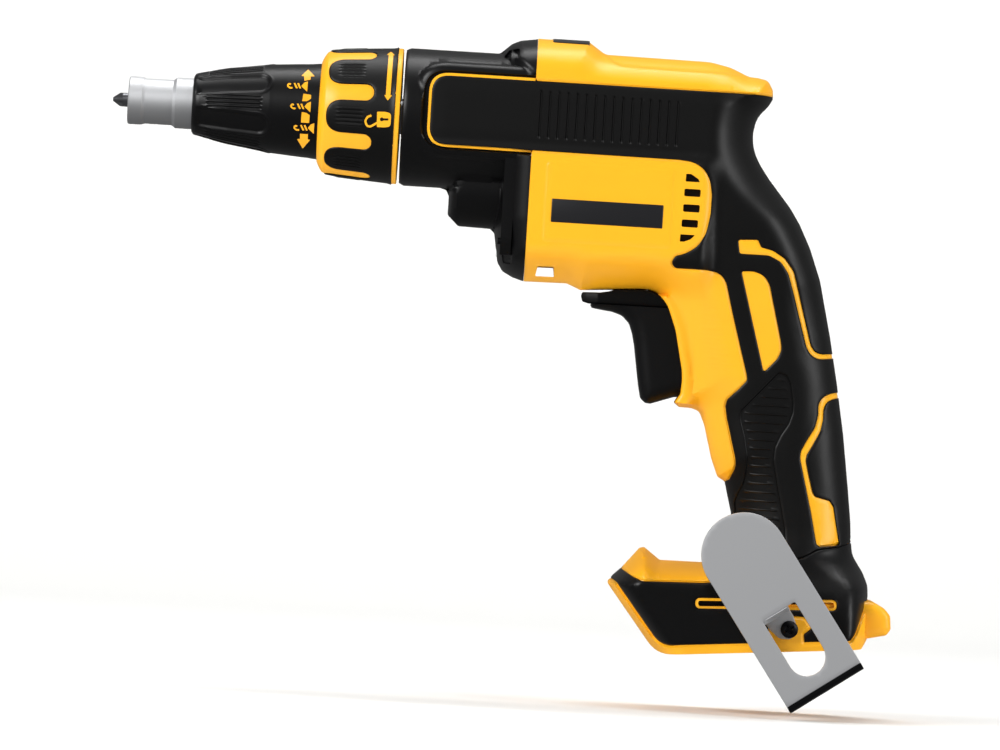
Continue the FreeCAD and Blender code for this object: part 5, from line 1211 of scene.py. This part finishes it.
# Geometry Nodes: copies of a piece spread evenly about the X axis
def ringTree():
    tree = bpy.data.node_groups.new("ringCopies", "GeometryNodeTree")
    tree.interface.new_socket("Piece", in_out="INPUT", socket_type="NodeSocketGeometry")
    count = tree.interface.new_socket("Copies", in_out="INPUT", socket_type="NodeSocketInt")
    finish = tree.interface.new_socket("Finish", in_out="INPUT", socket_type="NodeSocketMaterial")
    tree.interface.new_socket("Ring", in_out="OUTPUT", socket_type="NodeSocketGeometry")
    given = addNode(tree, "NodeGroupInput")
    spots = addNode(tree, "GeometryNodeMeshLine", None, {"Count": (given, "Copies")}, Offset=(0.0, 0.0, 0.0))
    place = addNode(tree, "GeometryNodeInputIndex")
    share = addNode(tree, "ShaderNodeMath", {"operation": "DIVIDE"}, {0: (place, 0), 1: (given, "Copies")})
    turn = addNode(tree, "ShaderNodeMath", {"operation": "MULTIPLY"}, {0: (share, 0)})
    turn.inputs[1].default_value = 2 * math.pi
    spin = addNode(tree, "ShaderNodeCombineXYZ", None, {"X": (turn, 0)})
    copies = addNode(tree, "GeometryNodeInstanceOnPoints", None,
                     {"Points": (spots, 0), "Instance": (given, "Piece"), "Rotation": (spin, 0)})
    real = addNode(tree, "GeometryNodeRealizeInstances", None, {"Geometry": (copies, 0)})
    coated = addNode(tree, "GeometryNodeSetMaterial", None,
                     {"Geometry": (real, 0), "Material": (given, "Finish")})
    addNode(tree, "NodeGroupOutput", None, {"Ring": (coated, 0)})
    return tree, {"Copies": count.identifier, "Finish": finish.identifier}


def grown(obj, tree, values):
    # Runs a node tree on a piece once and keeps the plain mesh
    change = obj.modifiers.new("grow", "NODES")
    change.node_group = tree[0]
    for key, value in values.items():
        change[tree[1][key]] = value
    bpy.context.view_layer.update()
    made = bpy.data.meshes.new_from_object(obj.evaluated_get(bpy.context.evaluated_depsgraph_get()))
    obj.modifiers.remove(change)
    obj.data = made
    return obj


ring = ringTree()
collarPads = grown(newObject("collarGrip", *padMesh), ring,
                   {"Copies": collarSizes["pads"], "Finish": finishes["black_rubber"]})
finished(collarPads, "black_rubber", "collar", ("collar_grip",), sharp=40)
print("stage: nose built")

# Raised signs: arrows and screws on the cone, an arrow and an open lock on the collar
signSizes = {
    "rise": 0.12,
    "sink": 0.3,
    "corner": 0.12,
    "step": 0.5,
    "screwSteps": [(0.0, 0.0), (1.67, -7.52), (3.35, -15.26)],
    "coneShapes": [[(65.4, 14.9), (68.0, 12.5), (66.6, 12.3), (66.6, 11.1), (64.4, 10.5), (64.1, 12.3),
                    (63.1, 12.3)],
                   [(64.4, 5.7), (67.2, 5.4), (67.3, 4.0), (65.8, 3.0), (64.1, 2.9)],
                   [(64.2, -1.1), (65.9, -1.3), (67.2, -2.1), (67.1, -4.9), (64.1, -4.9)],
                   [(64.0, -9.0), (66.9, -9.0), (66.9, -10.9), (67.8, -11.0), (65.2, -14.2), (63.0, -11.0),
                    (64.0, -10.9)]],
    "screwShapes": [[(63.4, 8.5), (64.4, 9.8), (65.7, 10.4), (65.7, 6.5), (64.5, 7.5)],
                    [(61.8, 9.4), (62.5, 9.5), (63.4, 7.6), (62.8, 7.5)],
                    [(60.5, 9.4), (61.1, 9.5), (62.2, 7.6), (61.5, 7.5)]],
    "screwTip": [(60.2, 7.6), (59.2, 7.6), (58.5, 8.1), (58.4, 8.6), (58.8, 9.1), (59.5, 8.9)],
    "tipWidth": 0.6,
    "doubleArrow": [(95.5, 23.3), (97.0, 22.0), (96.5, 22.0), (96.5, 6.8), (97.1, 6.8), (95.6, 4.8),
                    (94.2, 6.8), (94.8, 6.8), (94.8, 22.0), (94.1, 22.0)],
    "lock": [(92.0, 0.5, 0.4), (94.8, 0.6, 1.6), (97.2, 0.2, 2.0), (97.2, -4.7, 2.0), (94.8, -5.1, 1.6),
             (92.2, -5.1, 0.4)],
    "keyhole": [(93.2, -1.8, 0.4), (93.9, -1.4, 0.5), (94.5, -1.8, 0.1), (96.3, -1.7, 0.1), (96.3, -2.5, 0.1),
                (94.5, -2.6, 0.1), (93.9, -3.0, 0.5), (93.3, -2.7, 0.4)],
    "shackle": [(90.0, -1.0), (88.6, -1.6), (87.8, -3.1), (88.4, -4.7), (89.7, -5.2), (91.1, -4.3),
                (92.3, -3.5)],
    "shackleWidth": 0.75,
    "cell": 0.8,
}


def raisedSign(loop, rest, cutouts=()):
    # A thin pad on a round body, from its outline seen from the side
    def place(points, height):
        arc = np.degrees(np.arcsin(np.clip(points[:, 1] / rest(points[:, 0]), -0.99, 0.99)))
        return onRound(np.stack([arc, points[:, 0]], axis=1), height)

    points = fillPoints(loop, signSizes["cell"], (), cutouts)
    return shell(loop, points, lambda flat: rest(flat[:, 0]) + signSizes["rise"],
                 lambda flat: rest(flat[:, 0]) - signSizes["sink"], place, cutouts)


coneSigns = [roundedLine(shape, signSizes["corner"], signSizes["step"]) for shape in signSizes["coneShapes"]]
screwTip = strokeLoop(roundedLine(signSizes["screwTip"], 0.4, 0.3, False), signSizes["tipWidth"])
screwSigns = [roundedLine(shape, signSizes["corner"], signSizes["step"]) for shape in signSizes["screwShapes"]]
screwSigns.append(screwTip)
for step in signSizes["screwSteps"]:
    coneSigns += [loop + np.array(step) for loop in screwSigns]
coneMeshes = [raisedSign(loop, coneRest) for loop in coneSigns]
piece("coneSigns", *joined(*coneMeshes), "yellow_nylon", "cone", outward=True)
arrowLoop = roundedLine(signSizes["doubleArrow"], 0.1, 0.5)
lockLoop = roundedLine(signSizes["lock"], 0.3, 0.5)
keyLoop = roundedLine(signSizes["keyhole"], 0.3, 0.4)
shackleLoop = strokeLoop(roundedLine(signSizes["shackle"], 1.2, 0.4, False), signSizes["shackleWidth"])
collarSigns = [raisedSign(arrowLoop, padRest), raisedSign(lockLoop, padRest, [keyLoop]),
               raisedSign(shackleLoop, padRest)]
piece("collarSigns", *joined(*collarSigns), "yellow_nylon", "collar", outward=True)
print("stage: signs raised")

# Belt hook: one bent strip with a rolled lip, and the tongue punched from its slot
hookSizes = {
    "place": (235.8, -153.4),
    "tilt": math.radians(35.0),
    "half": 15.7,
    "thick": 1.8,
    "out": 43.9,
    "faceEnd": 55.4,
    "bendAt": 57.3,
    "bendRadius": 2.2,
    "lipEnd": 37.2,
    "slotHalf": 6.9,
    "slotTop": 24.0,
    "slotLow": 43.5,
    "edge": 0.25,
    "cell": 1.4,
    "rings": (0.12, 0.3, -0.12, -0.3),
    "tongue": [(-6.85, 24.0, 0.1), (3.9, 24.0, 0.1), (3.9, 37.5, 2), (2.7, 42.5, 3), (-1.0, 44.9, 3),
               (-4.9, 42.0, 3), (-6.3, 37.0, 2)],
    "tongueBend": [(24.0, 43.9), (24.9, 43.9, 0.4), (24.9, 34.35, 0.9), (40.0, 34.35)],
}


def onHook(across, down, out):
    turn = hookSizes["tilt"]
    x = hookSizes["place"][0] + across * math.cos(turn) + down * math.sin(turn)
    z = hookSizes["place"][1] + across * math.sin(turn) - down * math.cos(turn)
    return np.stack([x, -out, z], axis=1)


def hookFace(points, height):
    return onHook(points[:, 0], points[:, 1], height)


def bentSheet(profile):
    # Places for a sheet along a bent profile of down and out; flat points are across and length along it
    steps = np.linalg.norm(np.diff(profile, axis=0), axis=1)
    length = np.concatenate([[0.0], np.cumsum(steps)]) + profile[0][0]
    normals = lineNormals(profile, False)

    def place(points, height):
        down, out = (np.interp(points[:, 1], length, profile[:, column]) for column in (0, 1))
        lean, face = (np.interp(points[:, 1], length, normals[:, column]) for column in (0, 1))
        return onHook(points[:, 0], down + lean * height, out + face * height)
    return place, length[-1]


def sheetPiece(loop, cutouts, place):
    edges = [(line, True) for line in [loop] + cutouts]
    rings = [(line, hookSizes["rings"]) for line in [loop] + cutouts]
    half = hookSizes["thick"] / 2
    points = fillPoints(loop, hookSizes["cell"], rings, cutouts)
    return shell(loop, points, lambda flat: half - rounded(flat, edges, hookSizes["edge"])[0],
                 lambda flat: rounded(flat, edges, hookSizes["edge"])[0] - half, place, cutouts)


half, faceEnd = hookSizes["half"], hookSizes["faceEnd"]
slotHalf, slotTop = hookSizes["slotHalf"], hookSizes["slotTop"]
bendAt, plateOut = hookSizes["bendAt"], hookSizes["out"]
plateProfile = roundedLine([(-half, plateOut), (bendAt, plateOut, hookSizes["bendRadius"]),
                            (bendAt, hookSizes["lipEnd"])], 0.5, 0.5, False)
platePlace, plateEnd = bentSheet(plateProfile)
plateLoop = roundedLine([(half, faceEnd, 0), *arcLine((0, 0), half, 0, -180, 49), (-half, faceEnd, 0)],
                        0, 1.2)
slotLoop = roundedLine([(-slotHalf, slotTop, 1), (slotHalf, slotTop, 1),
                        *arcLine((0, hookSizes["slotLow"]), slotHalf, 0, 180, 25)], 0, 0.8)
tonguePlace = bentSheet(roundedLine(hookSizes["tongueBend"], 1, 0.3, False))[0]
tongueLoop = roundedLine(hookSizes["tongue"], 1, 0.8)
hookMesh = joined(sheetPiece(plateLoop, [slotLoop], platePlace), sheetPiece(tongueLoop, [], tonguePlace))
piece("beltHook", *hookMesh, "bright_steel", replaced=("belt_hook",), outward=True)
# The bend past the hook's face is its own piece in dark black oxide: painted shade for the dark band the bend
# shows as it turns under
shadedBendLoop = roundedLine([(-half, faceEnd), (half, faceEnd), (half, plateEnd), (-half, plateEnd)], 0.3, 1.0)
piece("beltHookShadedBend", *sheetPiece(shadedBendLoop, [], platePlace), "black_oxide_steel", outward=True)

# Its screw: a pan head with a cross recess
headSizes = {
    "down": 32.0,
    "radius": 3.2,
    "steps": 48,
    "seat": 35.2,
    "sunk": 0.6,
    "rise": 2.3,
    "dome": 1.2,
    "slotHalf": 0.45,
    "slotSide": 0.15,
    "slotReach": 1.8,
    "slotEnd": 0.2,
    "slotDepth": 1.1,
    "cell": 0.16,
}
shankSizes = {"radius": 1.6, "steps": 24, "sunk": 0.3, "end": 22.5, "cell": 0.8}
headLoop = circleLoop((0, headSizes["down"]), headSizes["radius"], headSizes["steps"], 1)
shankLoop = circleLoop((0, headSizes["down"]), shankSizes["radius"], shankSizes["steps"], 1)


def headTop(points):
    across, down = points[:, 0], points[:, 1] - headSizes["down"]
    share = np.clip(np.hypot(across, down) / headSizes["radius"], 0.0, 1.0)
    height = headSizes["seat"] + headSizes["rise"] - headSizes["dome"] * share ** 3
    near = np.minimum(np.abs(across), np.abs(down))
    far = np.maximum(np.abs(across), np.abs(down))
    arm = ease(headSizes["slotHalf"], headSizes["slotHalf"] - headSizes["slotSide"], near)
    arm = arm * ease(headSizes["slotReach"], headSizes["slotReach"] - headSizes["slotEnd"], far)
    return height - headSizes["slotDepth"] * arm


headMesh = shell(headLoop, fillPoints(headLoop, headSizes["cell"]), headTop,
                 level(headSizes["seat"] - headSizes["sunk"]), hookFace)
shankMesh = shell(shankLoop, fillPoints(shankLoop, shankSizes["cell"]),
                  level(headSizes["seat"] - shankSizes["sunk"]), level(shankSizes["end"]), hookFace)
piece("hookScrew", *joined(headMesh, shankMesh), "black_oxide_steel", replaced=("hook_screw",), outward=True)
print("stage: belt hook bent")

# Trigger: a deep paddle with a scooped, well rounded front
triggerSizes = {
    "front": [(174.4, -64.85, 0.6), (175.2, -66.3, 0.8), (178.4, -66.8), (182.8, -67.3), (186.6, -68.5),
              (189.4, -71.3), (190.7, -74.9), (191.7, -79.1), (192.9, -86.5), (194.1, -93.8),
              (195.2, -98.6, 2), (197.1, -100.3, 2), (199.0, -100.4, 2), (207.3, -97.5), (213.4, -96.6)],
    "top": (213.4, -64.85),
    "half": 9.4,
    "edge": 5.2,
    "cell": 1.3,
    "rings": (0.1, 0.35, 0.8, 1.5, 2.4, 3.6, 4.8),
}
triggerFront = roundedLine(triggerSizes["front"], 4, 0.9, False)
triggerLoop = roundedLine(triggerSizes["front"] + [(*triggerSizes["top"], 0.5)], 4, 0.9)


def triggerTop(points):
    return triggerSizes["half"] - rounded(points, [(triggerFront, False)], triggerSizes["edge"])[0]


triggerRings = [side * offset for offset in triggerSizes["rings"] for side in (1, -1)]
triggerPoints = fillPoints(triggerLoop, triggerSizes["cell"], [(triggerFront, triggerRings, False)])
piece("triggerPaddle", *evenShell(triggerLoop, triggerPoints, triggerTop), "black_nylon", "trigger",
      ("trigger",), outward=True)

# Yellow bumper at the heel
bumperSizes = {
    "outline": [(280.0, -168.0, 0.3), (285.4, -168.3, 3), (289.2, -170.3, 4), (291.6, -172.9, 3),
                (292.1, -177.9, 2), (290.6, -180.2, 2), (284.0, -181.7, 3), (280.0, -181.9, 0.3)],
    "half": 19.5,
    "edge": 3.0,
    "cell": 1.2,
    "rings": (0.1, 0.4, 0.9, 1.7, 2.8),
}
bumperLoop = roundedLine(bumperSizes["outline"], 2, 0.8)
bumperLine = roundedLine(bumperSizes["outline"], 2, 0.8, False)


def bumperTop(points):
    return bumperSizes["half"] - rounded(points, [(bumperLine, False)], bumperSizes["edge"])[0]


bumperPoints = fillPoints(bumperLoop, bumperSizes["cell"], [(bumperLoop, bumperSizes["rings"])])
piece("footBumper", *evenShell(bumperLoop, bumperPoints, bumperTop), "yellow_nylon",
      replaced=("foot_bumper",), outward=True)

# Bare strip on the hump
stripSizes = {
    "front": 155.0,
    "back": 168.5,
    "half": 11.0,
    "top": 31.85,
    "drop": 14.0,
    "reach": 24.3,
    "rise": 0.3,
    "sink": 0.6,
    "cell": 1.2,
}
stripFront, stripBack, stripHalf = (stripSizes[key] for key in ("front", "back", "half"))
stripLoop = roundedLine([(stripFront, -stripHalf), (stripBack, -stripHalf), (stripBack, stripHalf),
                         (stripFront, stripHalf)], 1.2, 0.8)


def onHump(points, height):
    fall = 1 - np.sqrt(1 - (points[:, 1] / stripSizes["reach"]) ** 2)
    crown = stripSizes["top"] - stripSizes["drop"] * fall
    return np.stack([points[:, 0], points[:, 1], crown + height], axis=1)


stripMesh = shell(stripLoop, fillPoints(stripLoop, stripSizes["cell"]), level(stripSizes["rise"]),
                  level(-stripSizes["sink"]), onHump)
piece("humpStrip", *stripMesh, "plate_black", outward=True)

# Reversing lever: a thumb tip on a bar that fills the space under the motor
leverSizes = {
    "outline": [(171.0, -62.1, 1), (171.4, -60.7, 0.8), (177.9, -60.5, 3), (181.1, -59.9, 2),
                (183.7, -58.9, 2), (193.0, -58.5, 2), (196.9, -58.8, 1), (199.7, -60.1, 1), (205.0, -60.6, 1),
                (229.9, -60.6, 0.5), (229.9, -64.8, 0.5), (174.0, -64.8, 1), (171.6, -64.2, 1)],
    "along": [170.0, 173.0, 177.0, 231.0],
    "halves": [3.0, 3.3, 5.2, 5.2],
    "edge": 0.6,
    "cell": 1.2,
    "rings": (0.1, 0.3, 0.6),
}
leverLoop = roundedLine(leverSizes["outline"], 1, 0.8)


def leverTop(points):
    half = np.interp(points[:, 0], leverSizes["along"], leverSizes["halves"])
    return half - rounded(points, [(leverLoop, True)], leverSizes["edge"])[0]


leverPoints = fillPoints(leverLoop, leverSizes["cell"], [(leverLoop, leverSizes["rings"])])
piece("reverseLever", *evenShell(leverLoop, leverPoints, leverTop), "black_nylon", "lever",
      ("reverse_lever",), outward=True)

# The lens keeps its CAD shape, drawn back flush with the chin; side plates keep theirs with broken edges
lensSizes = {"edge": 0.3, "sink": 1.2}
plateSizes = {"edge": 0.5}
lens = fromNode("lightLens", "light_lens", "lens_clear", lensSizes["edge"])
lens.data.transform(Matrix.Translation((lensSizes["sink"] * mm, 0.0, 0.0)))
fromNode("sidePlates", "side_plates", "plate_black", plateSizes["edge"])
print("stage: trigger, bumper and plates built")

# Battery rails and deck: the part of the CAD housing that lies inside the foot's shells
deckSizes = {"foot": (243.85, -188.8), "tilt": math.radians(4.9), "half": 29.6, "top": 17.2, "back": 31.0,
             "frontFoot": (-37.6, 3.3), "frontNose": (-54.7, 26.3), "frontGap": 6.6}


def footSpot(along, rise):
    turn = deckSizes["tilt"]
    return Vector((deckSizes["foot"][0] + along * math.cos(turn) - rise * math.sin(turn), 0.0,
                   deckSizes["foot"][1] + along * math.sin(turn) + rise * math.cos(turn)))


def deckPart():
    work = bmesh.new()
    for nodeName in ("housing_left", "housing_right"):
        work.from_mesh(nodes[nodeName].data)
    origin = footSpot(0, 0)
    front = footSpot(*deckSizes["frontFoot"])
    slope = (footSpot(*deckSizes["frontNose"]) - front).normalized()
    fore = Vector((-slope.z, 0.0, slope.x))
    aside = Vector((0.0, 1.0, 0.0))
    planes = [(footSpot(0, deckSizes["top"]), footSpot(0, 1) - origin),
              (footSpot(deckSizes["back"], 0), footSpot(1, 0) - origin),
              (front - fore * deckSizes["frontGap"], fore),
              (aside * deckSizes["half"], aside), (aside * -deckSizes["half"], -aside)]
    bmesh.ops.remove_doubles(work, verts=work.verts, dist=meshSizes["sliver"])
    for spot, normal in planes:
        bmesh.ops.bisect_plane(work, geom=work.verts[:] + work.edges[:] + work.faces[:],
                               dist=meshSizes["cut"], plane_co=spot * mm, plane_no=normal, clear_outer=True)
        closeHoles(work)
    verts, faces = meshData(work)
    return verts / mm, faces


piece("batteryDeck", *deckPart(), "yellow_nylon")
print("stage: battery deck cut")

# Every CAD node that still shows takes the finish of its slot
for obj in nodes.values():
    for held in obj.material_slots:
        finishName = held.material.name.split(".")[0] if held.material else ""
        if finishName in finishes:
            held.material = finishes[finishName]
print("stage: kept CAD pieces finished")

# Camera at the photo's angle, floor and light
viewSizes = {"middle": (142.9, 0.0, -93.2), "width": 370.0, "distance": 3000.0, "roll": math.radians(3.5),
             "sensor": 36.0, "clipEnd": 50.0}
camera = bpy.data.cameras.new("photoCamera")
camera.sensor_width = viewSizes["sensor"]
camera.lens = viewSizes["sensor"] * viewSizes["distance"] / viewSizes["width"]
camera.clip_end = viewSizes["clipEnd"]
cameraObject = bpy.data.objects.new("photoCamera", camera)
bpy.context.scene.collection.objects.link(cameraObject)
cosine, sine = math.cos(viewSizes["roll"]), math.sin(viewSizes["roll"])
rolled = Matrix(((cosine, -sine, 0.0), (0.0, 0.0, -1.0), (sine, cosine, 0.0))).to_4x4()
cameraPlace = Vector(viewSizes["middle"]) * mm + Vector((0.0, -viewSizes["distance"] * mm, 0.0))
cameraObject.matrix_world = Matrix.Translation(cameraPlace) @ rolled
bpy.context.scene.camera = cameraObject

bpy.context.scene.view_settings.view_transform = "Standard"
worldStrength = 0.19
world = bpy.data.worlds.new("studio")
bpy.context.scene.world = world
world.use_nodes = True
world.node_tree.nodes["Background"].inputs["Color"].default_value = (1.0, 1.0, 1.0, 1.0)
world.node_tree.nodes["Background"].inputs["Strength"].default_value = worldStrength

# A paper sweep, in metres: level under the tool, then a wide curve up behind it
sweepSizes = {"low": -0.2125, "front": -0.85, "turn": 0.9, "radius": 0.9, "rise": 65, "steps": 24,
              "half": 4.0}
sweepLine = [(sweepSizes["front"], sweepSizes["low"])]
for step in range(sweepSizes["steps"] + 1):
    angle = math.radians(sweepSizes["rise"] * step / sweepSizes["steps"])
    sweepLine.append((sweepSizes["turn"] + sweepSizes["radius"] * math.sin(angle),
                      sweepSizes["low"] + sweepSizes["radius"] * (1 - math.cos(angle))))
sweepSpots = [(side * sweepSizes["half"], depth, height) for depth, height in sweepLine for side in (-1, 1)]
sweepFaces = [(2 * row, 2 * row + 1, 2 * row + 3, 2 * row + 2) for row in range(len(sweepLine) - 1)]
sweepMesh = bpy.data.meshes.new("paperSweep")
sweepMesh.from_pydata(sweepSpots, [], sweepFaces)
sweepMesh.shade_smooth()
sweep = bpy.data.objects.new("paperSweep", sweepMesh)
bpy.context.scene.collection.objects.link(sweep)
sweepMesh.materials.append(surface("backdrop paper matt", "#F6F6F4", 0.9))
# The paper throws soft light back but isn't mirrored, as if flagged off from the tool
sweep.visible_glossy = False


def softbox(name, place, aim, size, power):
    lamp = bpy.data.lights.new(name, "AREA")
    lamp.shape = "RECTANGLE"
    lamp.size, lamp.size_y = size
    lamp.energy = power
    obj = bpy.data.objects.new(name, lamp)
    bpy.context.scene.collection.objects.link(obj)
    obj.location = place
    obj.rotation_euler = (Vector(aim) - Vector(place)).to_track_quat("-Z", "Y").to_euler()


softbox("keyLight", place=(-1.0, -1.15, 0.7), aim=(0.14, 0.0, -0.07), size=(0.9, 0.6), power=28.0)
softbox("fillLight", place=(1.5, -0.55, 0.4), aim=(0.16, 0.0, -0.08), size=(0.35, 1.2), power=13.0)
softbox("topLight", place=(0.15, 0.15, 1.1), aim=(0.15, 0.0, -0.05), size=(1.0, 0.5), power=6.0)
softbox("backdropLight", place=(0.1, 0.7, 1.9), aim=(0.1, 1.75, 0.1), size=(2.4, 0.4), power=26.0)

print("stage: scene ready")
